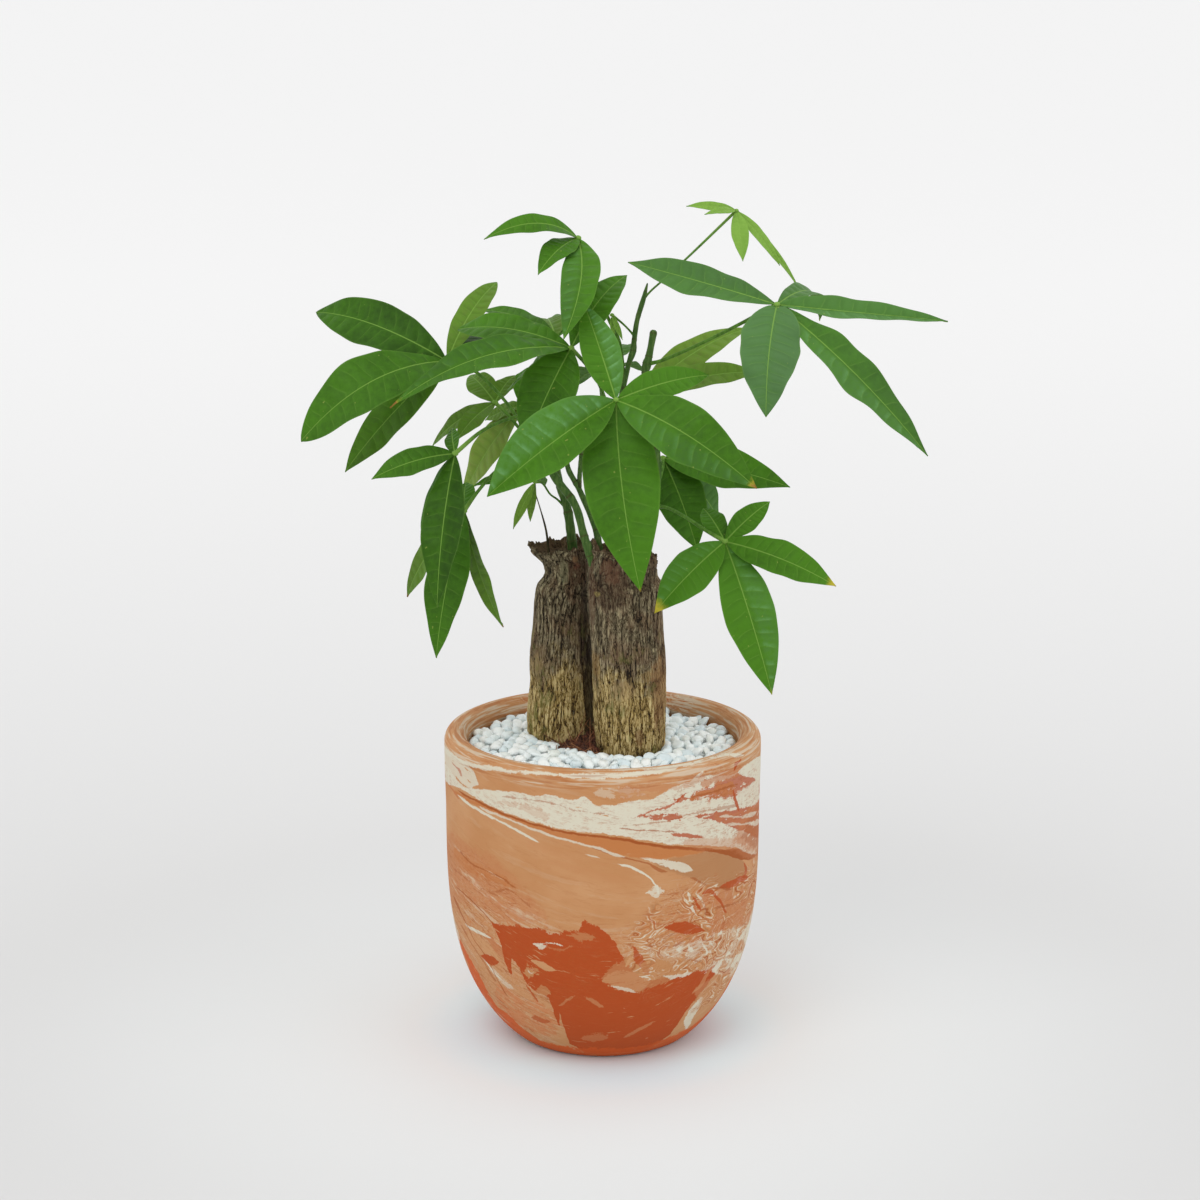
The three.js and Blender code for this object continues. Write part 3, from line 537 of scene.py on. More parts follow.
def smoothstep(value, low, high):
    """0 below low and 1 above high, with a soft S between them."""
    share = np.clip((value - low) / (high - low), 0, 1)
    return share * share * (3 - 2 * share)


def unit(vectors):
    return vectors / np.linalg.norm(vectors, axis=-1, keepdims=True)


def full_turn(count):
    """`count` angles that go once round."""
    return np.linspace(0, 2 * math.pi, count, endpoint=False)


def shares(rows, columns):
    """How far around and how far up each point of a grid is, from 0 to 1."""
    return np.meshgrid(np.linspace(0, 1, columns, endpoint=False), np.linspace(0, 1, rows))


def placed(name, data):
    """A new object in the scene."""
    made = bpy.data.objects.new(name, data)
    bpy.context.scene.collection.objects.link(made)
    return made


def ripples(around, up, cells, seed):
    """Random values from -1 to 1 on a lattice of cells[0] by cells[1], blended smoothly between its
    points. `around` and `up` run from 0 to 1 over the lattice, which repeats around."""
    lattice = 2 * np.random.default_rng(seed).random((cells[0], cells[1] + 2)) - 1
    across, along = around % 1 * cells[0], np.clip(up, 0, 1) * cells[1]
    i, j = np.floor(across).astype(int), np.floor(along).astype(int)
    s, t = smoothstep(across - i, 0, 1), smoothstep(along - j, 0, 1)
    i, k = i % cells[0], (i + 1) % cells[0]
    near = lattice[i, j] * (1 - s) + lattice[k, j] * s
    far = lattice[i, j + 1] * (1 - s) + lattice[k, j + 1] * s
    return near * (1 - t) + far * t


def smooth_path(places, count):
    """`count` rows along a Catmull-Rom curve through the rows of `places`, whose knots are spaced by the
    square root of the distance between places. Its first three columns are a position, and any others go
    along."""
    places = np.array(places, float)
    ends = 2 * places[[0, -1]] - places[[1, -2]]
    padded = np.vstack([ends[:1], places, ends[1:]])
    share = np.linspace(0, len(places) - 1, count)
    i = np.minimum(share.astype(int), len(places) - 2)
    w = (share - i)[:, None]
    before, start, stop, after = (padded[i + k] for k in range(4))
    gaps = [
        np.sqrt(np.linalg.norm((b - a)[:, :3], axis=1, keepdims=True))
        for a, b in ((before, start), (start, stop), (stop, after))
    ]
    slope = (stop - start) / gaps[1]
    leaving = ((start - before) / gaps[0] - (stop - before) / (gaps[0] + gaps[1]) + slope) * gaps[1]
    arriving = (slope - (after - start) / (gaps[1] + gaps[2]) + (after - stop) / gaps[2]) * gaps[1]
    bend = 3 * (stop - start) - 2 * leaving - arriving
    return start + leaving * w + bend * w**2 + (2 * (start - stop) + leaving + arriving) * w**3


def tube(path, radii, sides):
    """A round tube: each row is a circle around the path, square to it. The circles are set from the
    direction in which the path spreads least, which it never runs along."""
    tangents = unit(np.gradient(path, axis=0))
    level = np.linalg.svd(path - path.mean(0))[2][2]
    out = unit(np.cross(tangents, level))[:, None]
    over = np.cross(tangents, out[:, 0])[:, None]
    turns = full_turn(sides)[None, :, None]
    circle = np.cos(turns) * out + np.sin(turns) * over
    return path[:, None] + np.asarray(radii).reshape(len(path), -1, 1) * circle


def sphere(rows, columns):
    """A ball of radius 1: the angle from its lower pole runs over the rows and the turn about +Z over the
    columns. The rows stop short of the poles, which the end fans close."""
    down = np.linspace(0, math.pi, rows + 2)[1:-1, None]
    turn = full_turn(columns)[None]
    return np.stack([np.sin(down) * np.cos(turn), np.sin(down) * np.sin(turn), -np.cos(down) + 0 * turn], -1)


# ---------------------------------------------------------------- finishes


def math_method(operation, swapped=False):
    """A method that adds one Math node for self and the other value, or for the other and self."""

    def combine(self, other):
        return self.finish.maths(operation, *((other, self) if swapped else (self, other)))

    return combine


class Value:
    """A value on its way through a finish's nodes. An expression on it adds the Math nodes."""

    def __init__(self, finish, socket):
        self.finish = finish
        self.socket = socket

    __add__ = __radd__ = math_method("ADD")
    __mul__ = __rmul__ = math_method("MULTIPLY")
    __sub__ = math_method("SUBTRACT")
    __rsub__ = math_method("SUBTRACT", swapped=True)
    __truediv__ = math_method("DIVIDE")

    def __neg__(self):
        return self * -1

    def __abs__(self):
        return self.finish.maths("ABSOLUTE", self)


class Finish:
    """A material that is written as expressions on its values. A colour is a value, three numbers, a code
    of six digits, or the name of one of the finish's own paints."""

    def __init__(self, name, **paints):
        self.paints = paints
        self.material = bpy.data.materials.new(name)
        self.material.use_nodes = True
        self.tree = self.material.node_tree
        self.tree.nodes.clear()
        self.place = self.node("ShaderNodeTexCoord", output="Object")

    def node(self, kind, settings=None, sockets=None, output=0):
        """One node: its settings first, a ramp's stops or a curve's points among them, then sockets."""
        node = self.tree.nodes.new(kind)
        for name, value in (settings or {}).items():
            if name == "stops":
                self.set_stops(node.color_ramp, value)
            elif name == "points":
                self.set_points(node.mapping, value)
            else:
                setattr(node, name, value)
        for name, value in (sockets or {}).items():
            if isinstance(value, Value):
                self.tree.links.new(value.socket, node.inputs[name])
            else:
                node.inputs[name].default_value = value
        return Value(self, node.outputs[output]) if len(node.outputs) else node

    def colour(self, shade):
        """What a colour socket or a ramp's stop takes."""
        if isinstance(shade, Value):
            return shade
        if isinstance(shade, str):
            shade = self.paints[shade] if shade in self.paints else linear(shade)
        return (*shade, 1)

    def set_stops(self, ramp, stops):
        while len(ramp.elements) < len(stops):
            ramp.elements.new(1)
        for element, (position, shade) in zip(ramp.elements, stops):
            element.position = position
            element.color = self.colour(shade)

    @staticmethod
    def set_points(mapping, points):
        curve = mapping.curves[0]
        while len(curve.points) < len(points):
            curve.points.new(0.5, 0.5)
        for point, (across, up) in zip(curve.points, sorted(points)):
            point.location = (across, up)
            point.handle_type = "AUTO_CLAMPED"
        mapping.update()

    def maths(self, operation, *values, clamp=False):
        settings = {"operation": operation, "use_clamp": clamp}
        return self.node("ShaderNodeMath", settings, dict(enumerate(values)))

    def most(self, first, *others):
        """The greatest of the values."""
        for other in others:
            first = self.maths("MAXIMUM", first, other)
        return first

    def between(self, value, low, high, top=1):
        """0 at low and `top` at high, with a soft S between them."""
        sockets = {"Value": value, "From Min": low, "From Max": high, "To Max": top}
        return self.node("ShaderNodeMapRange", {"interpolation_type": "SMOOTHSTEP"}, sockets)

    def mix(self, factor, first, second):
        """The first colour where the factor is 0 and the second where it is 1."""
        sockets = {0: factor, 6: self.colour(first), 7: self.colour(second)}
        return self.node("ShaderNodeMix", {"data_type": "RGBA"}, sockets, 2)

    def vector(self, operation, *values):
        return self.node("ShaderNodeVectorMath", {"operation": operation}, dict(enumerate(values)))

    def noise(self, scale, stretch=(1, 1, 1), place=None, detail=3, roughness=0.55, distortion=0, output=0):
        """Noise with `scale` features to the metre, drawn out along an axis where its stretch is small."""
        where = self.vector("MULTIPLY", place or self.place, stretch)
        sockets = {"Vector": where, "Scale": scale, "Detail": detail, "Roughness": roughness}
        sockets["Distortion"] = distortion
        return self.node("ShaderNodeTexNoise", None, sockets, output)

    def wander(self, scale, reach, stretch=(1, 1, 1), place=None, detail=2):
        """The place moved by up to about `reach` metres, in a direction that changes from spot to spot."""
        push = self.noise(scale, stretch, place, detail, output=1)
        push = self.vector("SUBTRACT", push, (0.5, 0.5, 0.5))
        push = self.vector("MULTIPLY", push, (2 * reach, 2 * reach, 2 * reach))
        return self.vector("ADD", place or self.place, push)

    def axes(self, names="XYZ", place=None):
        """The named parts of a place."""
        return [self.node("ShaderNodeSeparateXYZ", None, {0: place or self.place}, name) for name in names]

    def given(self, name):
        """The value of that name that the piece's points carry."""
        return self.node("ShaderNodeAttribute", {"attribute_name": name}, None, "Fac")

    def curve(self, value, points):
        return self.node("ShaderNodeFloatCurve", {"points": points}, {"Value": value})

    def ramp(self, value, *stops):
        return self.node("ShaderNodeValToRGB", {"stops": stops}, {"Fac": value})

    def done(self, base, rough, height=None, depth=MM, strength=1, gloss=0.5):
        """Finishes the material with its colour, its roughness and the height of its relief."""
        sockets = {"Base Color": base, "Roughness": rough, "Specular IOR Level": gloss}
        if height is not None:
            relief = {"Height": height, "Distance": depth, "Strength": strength}
            sockets["Normal"] = self.node("ShaderNodeBump", None, relief)
        shader = self.node("ShaderNodeBsdfPrincipled", None, sockets)
        self.node("ShaderNodeOutputMaterial", None, {"Surface": shader})
        return self.material


# ---------------------------------------------------------------- planter


def wall_radius(pot, height):
    """The planter's outer radius: it leaves the foot along a power curve and is upright above its belly."""
    foot, belly = pot.foot / 2, pot.width / 2 - POT_INSET
    below = 1 - np.clip(height / pot.belly, 0, 1)
    above = np.clip(2 * (height - pot.belly) / (pot.height - pot.belly), 0, 1)
    return foot + (belly - foot) * (1 - below**POT_CURL) ** POT_FULLNESS + POT_INSET * above


def inner_radius(pot, height):
    """The wall's inner radius. The wall grows to the lip's thickness over its top fifth."""
    to_lip = smoothstep(height, 0.8 * pot.height, pot.height - pot.lip / 2)
    return wall_radius(pot, height) - pot.wall - (pot.lip - pot.wall) * to_lip


def revolved(radius, height, columns):
    """A profile turned about +Z: up the outside and down the inside, so that faces point outwards."""
    turns = full_turn(columns)
    radius, height = np.asarray(radius)[:, None], np.asarray(height)[:, None]
    return np.stack([radius * np.cos(turns), radius * np.sin(turns), height + 0 * turns], -1)


def pot_profile(pot):
    """From the foot's middle up the outside, half round over the lip, down the inside and to its middle."""
    half, floor = pot.lip / 2, FLOOR_RISE * pot.wall
    up = (pot.height - half) * np.linspace(0.06, 1, 90) ** 1.7
    over = np.linspace(0, math.pi, 26)[1:-1]
    down = np.linspace(pot.height - half, TURN_RISE * pot.wall, 40)
    outward, inward = np.linspace(0.1, 1, 5), np.linspace(1, 0.02, 8)
    radius = [
        outward * (pot.foot / 2 - POT_INSET), wall_radius(pot, up),
        pot.width / 2 - half + half * np.cos(over), inner_radius(pot, down),
        inward * (inner_radius(pot, floor) - pot.wall / 2),
    ]
    lip = pot.height - half + half * np.sin(over)
    height = [0 * outward, up, lip, down, np.full(len(inward), floor)]
    return np.concatenate(radius), np.concatenate(height)


def build_pot(pot):
    """Turns the planter's profile and bores its drain holes."""
    shape = Shape()
    shape.add(revolved(*pot_profile(pot), POT_COLUMNS))
    made = shape.piece("pot_shell", "pot", [clay_finish(pot)], "pot", sharp=math.radians(40))
    holes = Shape()
    for turn in full_turn(DRAIN_HOLES):
        bore = revolved(np.full(6, DRAIN_HOLE / 2), np.linspace(*DRAIN_REACH, 6), 48)
        holes.add(bore + DRAIN_CIRCLE / 2 * np.array([math.cos(turn), math.sin(turn), 0]))
    cutter = placed("bore", holes.mesh("bore", [], math.pi))
    bored = made.modifiers.new("drain", "BOOLEAN")
    bored.object = cutter
    bored.operation = "DIFFERENCE"
    finished = bpy.data.meshes.new_from_object(made.evaluated_get(bpy.context.evaluated_depsgraph_get()))
    made.modifiers.clear()
    made.data = finished
    bpy.data.objects.remove(cutter)


def wash(paint, share, upper, lower, ragged=0.8, holes=0, soft=0.25, upright=False):
    """A patch of slip that covers the clay by `share` between its upper and lower edge, each a row of
    places [across, down] to the right. Its edges are `ragged` millimetres uneven and `soft` wide, and
    `holes` is how much of it is missing. An upright one lies between its left and right edge, which run
    down."""
    return locals()


def trail(paint, share, width, path, ragged=0.25, upright=False):
    """A line of slip `width` sightings wide along its path to the right, and narrow at its ends. An upright
    one runs down."""
    reach = np.full(len(path), 0.5 * width)
    reach[[0, -1]] *= TRAIL_POINT
    aside = np.outer(reach, (1, 0) if upright else (0, 1))
    return wash(paint, share, path - aside, path + aside, ragged, soft=0.2, upright=upright)


# Where the slips ran into each other in swirls and streaks, with no paint of their own.
SWIRLED = [
    wash("", 1, [(446, 835), (470, 852), (500, 878), (528, 905), (552, 925)],
        [(446, 990), (470, 1010), (552, 1045)], 5, soft=6),
    wash("", 1, [(640, 925), (662, 893), (690, 882), (725, 884), (756, 862)],
        [(640, 1000), (690, 1010), (756, 990)], 5, soft=6),
    wash("", 0.7, [(600, 930), (640, 928), (690, 930)], [(600, 990), (640, 992), (690, 990)], 5, soft=5),
    wash("", 0.8, [(700, 762), (730, 765), (763, 755)], [(700, 850), (730, 850), (763, 850)], 4, soft=5),
]

# The great cream streak across the front.
GREAT_STREAK = wash("slip", 1,
    [(443, 762), (450, 770), (463, 786), (490, 790), (517, 793), (536, 796), (546, 795), (555, 796),
     (568, 800), (577, 800), (582, 795), (589, 800), (597, 805.5), (614, 805), (632, 801), (648, 800),
     (662, 794), (674, 787), (696, 780), (705, 776), (726, 776), (740, 772), (763, 772)],
    [(443, 778), (463, 790), (480, 800), (502, 811), (518, 817), (536, 823), (560, 829), (590, 832),
     (620, 835.5), (644, 840), (667, 844), (690, 845), (722, 846), (763, 848)], 0.8, 0.13)

# The marbling as laid, each over the ones before it.
MARBLING = [
    # the left side, below the calm tan
    wash("blush", 0.45, [(446, 832), (480, 850), (515, 880), (545, 912)],
        [(446, 900), (480, 905), (515, 925), (545, 918)], 4, 0.4, 3),
    wash("amber", 0.5, [(456, 848), (478, 864), (500, 874), (516, 886)],
        [(456, 858), (478, 876), (500, 884), (516, 889)], 1.5, 0.4, 0.6),
    trail("line", 0.7, 1.6, [(459, 850), (470, 862), (484, 870), (501, 877.5), (516, 888)], 0.8),
    trail("line", 0.5, 1.3, [(495, 892), (508, 890), (522, 900), (532, 908)], 1),
    trail("line", 0.5, 1.2, [(452, 866), (466, 878), (484, 890), (500, 897)], 1),
    wash("glow", 0.5, [(470, 931), (492, 946), (512, 985), (545, 1000), (562, 1010)],
        [(470, 945), (490, 985), (520, 1020), (550, 1038), (566, 1038)], 3, 0.35, 1),
    wash("glow", 0.7, [(470, 932), (482, 940), (494, 950)], [(470, 936), (482, 950), (494, 957)], 1.2, 0.1),
    wash("blush", 0.8, [(488, 934), (500, 947), (508, 957)], [(488, 940), (500, 956), (508, 960)], 1.2,
        0.15),
    wash("ember", 0.3, [(500, 985), (525, 997), (552, 1010)], [(500, 1003), (525, 1028), (552, 1036)], 2.5,
        0.62, 0.5),
    wash("slip", 0.55, [(492, 968), (500, 975), (509, 984)], [(492, 972), (501, 982), (511, 989)], 1.8,
        0.45, 0.4),
    trail("slip", 0.95, 2.8, [(465, 923), (470, 928), (480, 933), (491, 938)]),
    trail("slip", 0.95, 1.8, [(483, 958), (489, 966), (493, 971), (500, 978)], 0.5),
    trail("line", 0.8, 1.6, [(456, 886), (466, 895), (475, 904), (483, 912), (491, 921), (503, 930)]),
    trail("line", 0.7, 1.4, [(453, 895), (466, 923), (475, 941), (485, 955), (500, 984), (508, 996)]),
    trail("line", 0.5, 1.3, [(461, 925), (470, 941), (484, 962), (497, 982)], 0.6),
    trail("rust", 0.8, 2.4, [(526, 985), (532, 993), (538, 1002)], 0.6, True),
    wash("rust", 0.95, [(482, 955), (489, 955), (496, 959)], [(482, 957), (489, 964), (496, 964)], 0.8),
    wash("rust", 0.7, [(534, 1016), (541, 1018), (548, 1020)], [(534, 1020), (541, 1023), (548, 1023)], 1.2,
        0.3),
    # the burnt patch, and what shows through it
    wash("rust", 0.97,
        [(492, 922), (510, 926), (522, 926), (539, 928), (553, 933), (561, 934), (564, 931), (579, 931),
         (582, 922), (594, 925), (605, 932), (615, 943), (622, 956), (634, 972), (648, 980), (665, 978),
         (692, 972), (707, 969), (719, 962)],
        [(492, 924), (500, 941), (510, 958), (512, 974), (527, 983), (536, 992), (549, 998), (557, 1003),
         (561, 1028), (570, 1044), (600, 1053), (640, 1050), (668, 1036), (680, 1020), (692, 1003),
         (704, 989), (719, 968)], 1.7, 0.12),
    wash("clay", 0.55, [(606, 973), (614, 966), (628, 958), (640, 950), (656, 948), (672, 953)],
        [(606, 984), (617, 988), (637, 992), (650, 988), (661, 982), (672, 977)], 2.4, 0.12),
    wash("glow", 0.5, [(608, 975), (620, 971), (640, 974)], [(608, 985), (620, 987), (640, 990)], 1.5, 0.3),
    trail("rust", 0.9, 9, [(633, 946), (637, 955), (643, 966), (648, 974)], 1.6, True),
    trail("glow", 1, 4, [(633, 948), (631, 957), (626, 966)], 0.6, True),
    trail("slip", 0.7, 2.5, [(612, 986), (621, 988), (636, 992)], 0.8),
    wash("glow", 0.95, [(531, 960), (541, 961), (548, 965), (556, 970)],
        [(531, 961), (541, 968), (548, 971), (556, 971)], 0.6),
    trail("slip", 0.85, 1.8, [(539, 945), (548, 943), (556, 944), (562, 946)], 0.9),
    wash("slip", 0.8, [(537, 943), (541, 944), (545, 944)], [(537, 947), (541, 949), (545, 947)], 1.6, 0.4),
    trail("blush", 0.8, 2.4, [(543, 990), (547, 991), (550, 994)], 0.8),
    trail("blush", 0.6, 1.6, [(548, 948), (562, 950), (574, 946), (584, 948)], 1),
    wash("clay", 0.9, [(524, 972), (530, 966), (537, 969)], [(524, 973), (531, 977), (537, 974)], 2.6,
        0.25),
    trail("slip", 0.7, 1.2, [(527, 970), (531, 973), (535, 971)], 1),
    wash("clay", 0.6, [(570, 934), (582, 932), (590, 936)], [(570, 937), (582, 942), (590, 940)], 2, 0.5),
    trail("blush", 0.9, 4, [(584, 997), (593, 1001), (603, 1007)], 0.8),
    trail("blush", 0.8, 2.6, [(622, 1038), (640, 1029), (654, 1022)], 1),
    trail("blush", 0.8, 2.4, [(560, 1005), (568, 1000), (575, 996)], 0.8),
    wash("blush", 0.6, [(584, 1036), (596, 1034), (606, 1036)], [(584, 1040), (596, 1041), (606, 1039)],
        1.5, 0.3),
    wash("clay", 0.7, [(538, 989), (544, 986), (549, 990)], [(538, 993), (544, 996), (549, 993)], 1.6, 0.2),
    # the right side
    wash("blush", 0.6, [(690, 905), (715, 890), (745, 880), (757, 875)],
        [(690, 950), (715, 940), (745, 925), (757, 925)], 4, 0.25, 3),
    wash("slip", 0.5, [(640, 948), (662, 945), (690, 943), (715, 934), (728, 929), (755, 922)],
        [(640, 951), (662, 960), (690, 966), (715, 972), (728, 975), (745, 978)], 4, 0.6, 0.5),
    wash("slip", 0.9, [(716, 935), (728, 930), (742, 927), (752, 924)],
        [(716, 937), (730, 938), (742, 940), (752, 942)], 1.4, 0.35),
    trail("slip", 0.95, 4, [(708, 942), (714, 944), (720, 949), (731, 954)], 0.9),
    wash("slip", 0.95, [(715, 966), (720, 960), (730, 958), (742, 952)],
        [(715, 974), (724, 975), (733, 971), (744, 964)], 1.2, 0.12),
    trail("slip", 0.95, 2.2, [(702, 943), (706, 949), (707, 956), (705, 962)], upright=True),
    trail("slip", 0.7, 1.8, [(694, 945), (700, 942), (708, 943), (716, 946)], 0.6),
    trail("slip", 0.7, 1.6, [(650, 952), (660, 951), (668, 955), (676, 957)], 0.7),
    trail("line", 0.7, 1.5, [(640, 944), (656, 947), (672, 946), (690, 938), (712, 936)], 1),
    trail("line", 0.6, 1.4, [(680, 962), (692, 960), (704, 964), (716, 962)], 1),
    trail("rust", 0.6, 1.6, [(648, 920), (656, 924), (664, 925), (676, 920)], 1),
    wash("slip", 0.95, [(676, 949), (684, 944), (691, 948)], [(676, 950), (684, 953), (691, 952)], 0.8),
    wash("slip", 0.9, [(714, 936), (724, 930), (732, 930)], [(714, 938), (722, 937), (732, 934)], 0.8),
    wash("clay", 0.7, [(646, 962), (665, 958), (690, 960)], [(646, 974), (665, 976), (690, 972)], 3, 0.3),
    trail("slip", 0.8, 3.4, [(664, 976), (680, 976), (694, 972)], 1.2),
    trail("blush", 0.9, 3.5, [(712, 966), (706, 976), (700, 986), (692, 994)], upright=True),
    trail("slip", 0.9, 8, [(701, 997), (695, 1008), (689, 1018), (686, 1029)], 1.6, True),
    wash("glow", 0.4, [(700, 985), (716, 975), (728, 975)], [(700, 1000), (710, 1000), (722, 985)], 2, 0.3,
        1),
    trail("line", 0.7, 3, [(718, 1002), (706, 1016), (694, 1028)], 0.8, True),
    wash("rust", 0.95, [(664, 927), (680, 922), (693, 924), (705, 930)],
        [(664, 928), (688, 934), (705, 931)], 0.6),
    trail("slip", 0.9, 3, [(688, 892), (691, 901), (692, 909), (697, 915)], 0.6, True),
    trail("slip", 0.8, 1.8, [(697, 894), (703, 903), (705, 912), (703, 920)], 0.6, True),
    trail("rust", 0.9, 2.4, [(693, 896), (697, 904), (701, 911)], 0.6, True),
    trail("rust", 0.85, 4.4, [(702, 894), (709, 891), (716, 897), (722, 904), (727, 912)]),
    trail("line", 0.6, 2, [(705, 915), (716, 908), (730, 905), (745, 898)], 1),
    # the smooth oval with its dark outline, and the wedge and the hook beside it
    wash("shadow", 0.75, [(655, 862), (693, 854), (734, 853), (746, 866)],
        [(655, 864), (690, 878), (722, 887), (746, 873)], 0.6, 0, 1),
    trail("rust", 0.75, 2.6, [(744, 863), (746, 871), (744, 878)], 0.4, True),
    wash("rust", 0.9, [(720, 887), (728, 882), (736, 878), (746, 875)],
        [(720, 888), (730, 888), (738, 884), (746, 880)], 0.5),
    trail("line", 0.7, 1.6, [(722, 889), (734, 889), (744, 886)], 0.4),
    trail("line", 0.6, 2, [(690, 878), (700, 882), (716, 888), (728, 887)]),
    wash("slip", 0.85, [(641, 857), (657, 859), (678, 862), (686, 864)],
        [(641, 858), (664, 866), (680, 872), (690, 872)], 0.9, 0.25),
    trail("slip", 0.95, 2.4, [(618, 864), (630, 867), (641, 872), (651, 879), (657, 886)]),
    trail("slip", 0.9, 2.6, [(655, 884), (658, 889), (658, 895)], upright=True),
    wash("slip", 0.8, [(652, 888), (656, 886), (660, 888)], [(652, 896), (656, 898), (660, 895)], 1.8,
        0.45),
    trail("slip", 0.7, 1.6, [(585, 854), (592, 856), (599, 858)]),
    # the burnt band under the great streak, with its dark line and the pale trails below
    wash("amber", 0.85,
        [(452, 788), (480, 803), (518, 819), (560, 831), (620, 838), (662, 846), (700, 850)],
        [(452, 790), (480, 808), (518, 824), (560, 838), (600, 849), (640, 858), (700, 853)], 0.7, 0.1,
        0.6),
    trail("line", 0.95, 2.4,
        [(458, 790), (480, 802.5), (516, 818.5), (560, 831), (620, 839), (650, 844.5), (700, 849),
         (757, 853)]),
    trail("line", 0.8, 2.6, [(626, 840.5), (645, 844), (662, 846.5), (690, 849), (720, 850)]),
    trail("line", 0.7, 1.8, [(590, 847), (606, 852), (626, 858), (645, 863), (668, 872)]),
    trail("slip", 0.75, 2.4, [(478, 806), (507, 818.5), (536, 830.5), (575, 842), (600, 849), (625, 857)],
        0.5),
    trail("slip", 0.95, 2.6, [(458, 795), (480, 811), (507, 825), (524, 834), (539, 842)], 0.4),
    trail("blush", 0.85, 2.2, [(446, 779), (452, 789), (460, 800)]),
    # the great cream streak, which forks to the right around burnt wedges
    GREAT_STREAK,
    trail("slip", 0.9, 4.5, [(684, 788), (692, 782), (698, 776), (703, 771)], 0.8, True),
    wash("blush", 0.4, [(690, 838), (722, 838), (763, 834)], [(690, 848), (722, 850), (763, 854)], 2, 0.25,
        1),
    wash("rust", 0.8, [(674, 799), (692, 795), (710, 787), (726, 779), (740, 774), (763, 774)],
        [(674, 800.5), (696, 800), (710, 799), (733, 797), (745, 798), (763, 796)], 2.2, 0.38),
    wash("amber", 0.7, [(690, 797), (710, 789), (730, 782)], [(690, 800), (710, 798), (730, 795)], 1.6,
        0.5),
    trail("line", 0.7, 1.6, [(684, 799), (704, 794), (722, 789), (738, 784)], 0.8),
    wash("blush", 0.7, [(705, 780), (722, 772), (738, 765)], [(705, 786), (722, 782), (738, 776)], 2, 0.35,
        0.6),
    wash("rust", 0.85, [(696, 815), (716, 812), (734, 810), (752, 804), (763, 798)],
        [(696, 817), (710, 820), (728, 825), (740, 830), (763, 833)], 1.2, 0.28),
    wash("blush", 0.45, [(716, 815), (736, 812), (763, 806)], [(716, 820), (736, 826), (763, 828)], 1.8,
        0.55),
    wash("blush", 0.6, [(736, 836), (748, 805), (768, 788)], [(736, 842), (755, 852), (768, 860)], 3, 0.35,
        2),
    wash("line", 0.4, [(744, 832), (752, 812), (768, 800)], [(744, 840), (756, 848), (768, 852)], 3, 0.45,
        1),
    trail("slip", 0.7, 1.4, [(720, 816), (736, 817), (757, 812)], 0.6),
    trail("slip", 0.7, 1.2, [(726, 824), (742, 824), (759, 820)], 0.6),
    wash("slip", 0.95, [(738, 794), (748, 786), (763, 777)], [(738, 800), (744, 806), (763, 796)], 1, 0.15),
    trail("rust", 0.9, 3, [(733, 790), (735, 800), (739, 811)], 0.5, True),
    wash("slip", 1, [(740, 770), (750, 762), (763, 758)], [(740, 774), (750, 777), (763, 777)], 0.6),
    trail("rust", 0.95, 4.5, [(734, 771), (736, 764), (741, 759)], 1.2, True),
    trail("rust", 0.8, 1.7, [(634, 818), (652, 811.5), (672, 805), (680, 798), (690, 792)], 1),
    wash("rust", 0.85, [(646, 815), (664, 813.5), (679, 815)], [(646, 818), (664, 820), (679, 820)], 1.6,
        0.4),
    wash("rust", 0.85, [(671, 834), (684, 833.5), (702, 836.5)], [(671, 835), (686, 837.5), (702, 838)],
        0.6, 0.1),
    trail("line", 0.7, 1.2, [(618, 828), (640, 830), (660, 831), (676, 832)], 0.5),
    trail("line", 0.5, 1, [(500, 796), (540, 801), (580, 811), (612, 815)], 0.8),
    trail("line", 0.5, 1.1, [(620, 826), (660, 822), (700, 812), (738, 806)], 0.8),
    wash("blush", 0.25, [(498, 801), (516, 803), (545, 811)], [(498, 804), (516, 808), (545, 820)], 2.5,
        0.6),
    # the cream at the rim
    wash("slip", 0.85, [(446, 748), (458, 757), (472, 769), (478, 783)],
        [(446, 765), (456, 776), (466, 786), (478, 785)], 0.8, 0.25),
    trail("rust", 0.6, 2.5, [(452, 762), (459, 769), (462, 778)], 1.4, True),
    wash("slip", 0.9,
        [(443, 745), (452, 753), (470, 763), (490, 766), (510, 770), (535, 772), (560, 774), (580, 775),
         (604, 778)],
        [(443, 748), (460, 762), (478, 769), (500, 771.5), (520, 774), (548, 776), (575, 778.5),
         (604, 779)], 0.8, 0.15),
    wash("slip", 0.9, [(585, 775), (620, 775), (655, 771), (690, 763), (722, 757), (745, 754)],
        [(585, 776.5), (620, 778), (655, 775), (690, 767), (722, 759), (745, 755)], 0.7, 0.2),
    trail("slip", 0.5, 1.3, [(600, 772.5), (640, 771), (680, 765), (712, 757)], 0.6),
    wash("slip", 0.4, [(600, 790), (620, 788), (640, 790)], [(600, 796), (620, 797), (640, 796)], 2, 0.6),
    wash("blush", 0.4, [(625, 786), (660, 784), (700, 776)], [(625, 798), (655, 792), (700, 781)], 3, 0.5),
    # the burnt foot
    wash("ember", 0.9,
        [(455, 925), (463, 946), (472, 962), (484, 984), (497, 1006), (508, 1014), (524, 1029), (546, 1042),
         (570, 1046), (600, 1048), (640, 1046), (672, 1036), (692, 1026), (706, 1014), (720, 998),
         (732, 975)], [], 2.6, 0.3, 0.9),
]

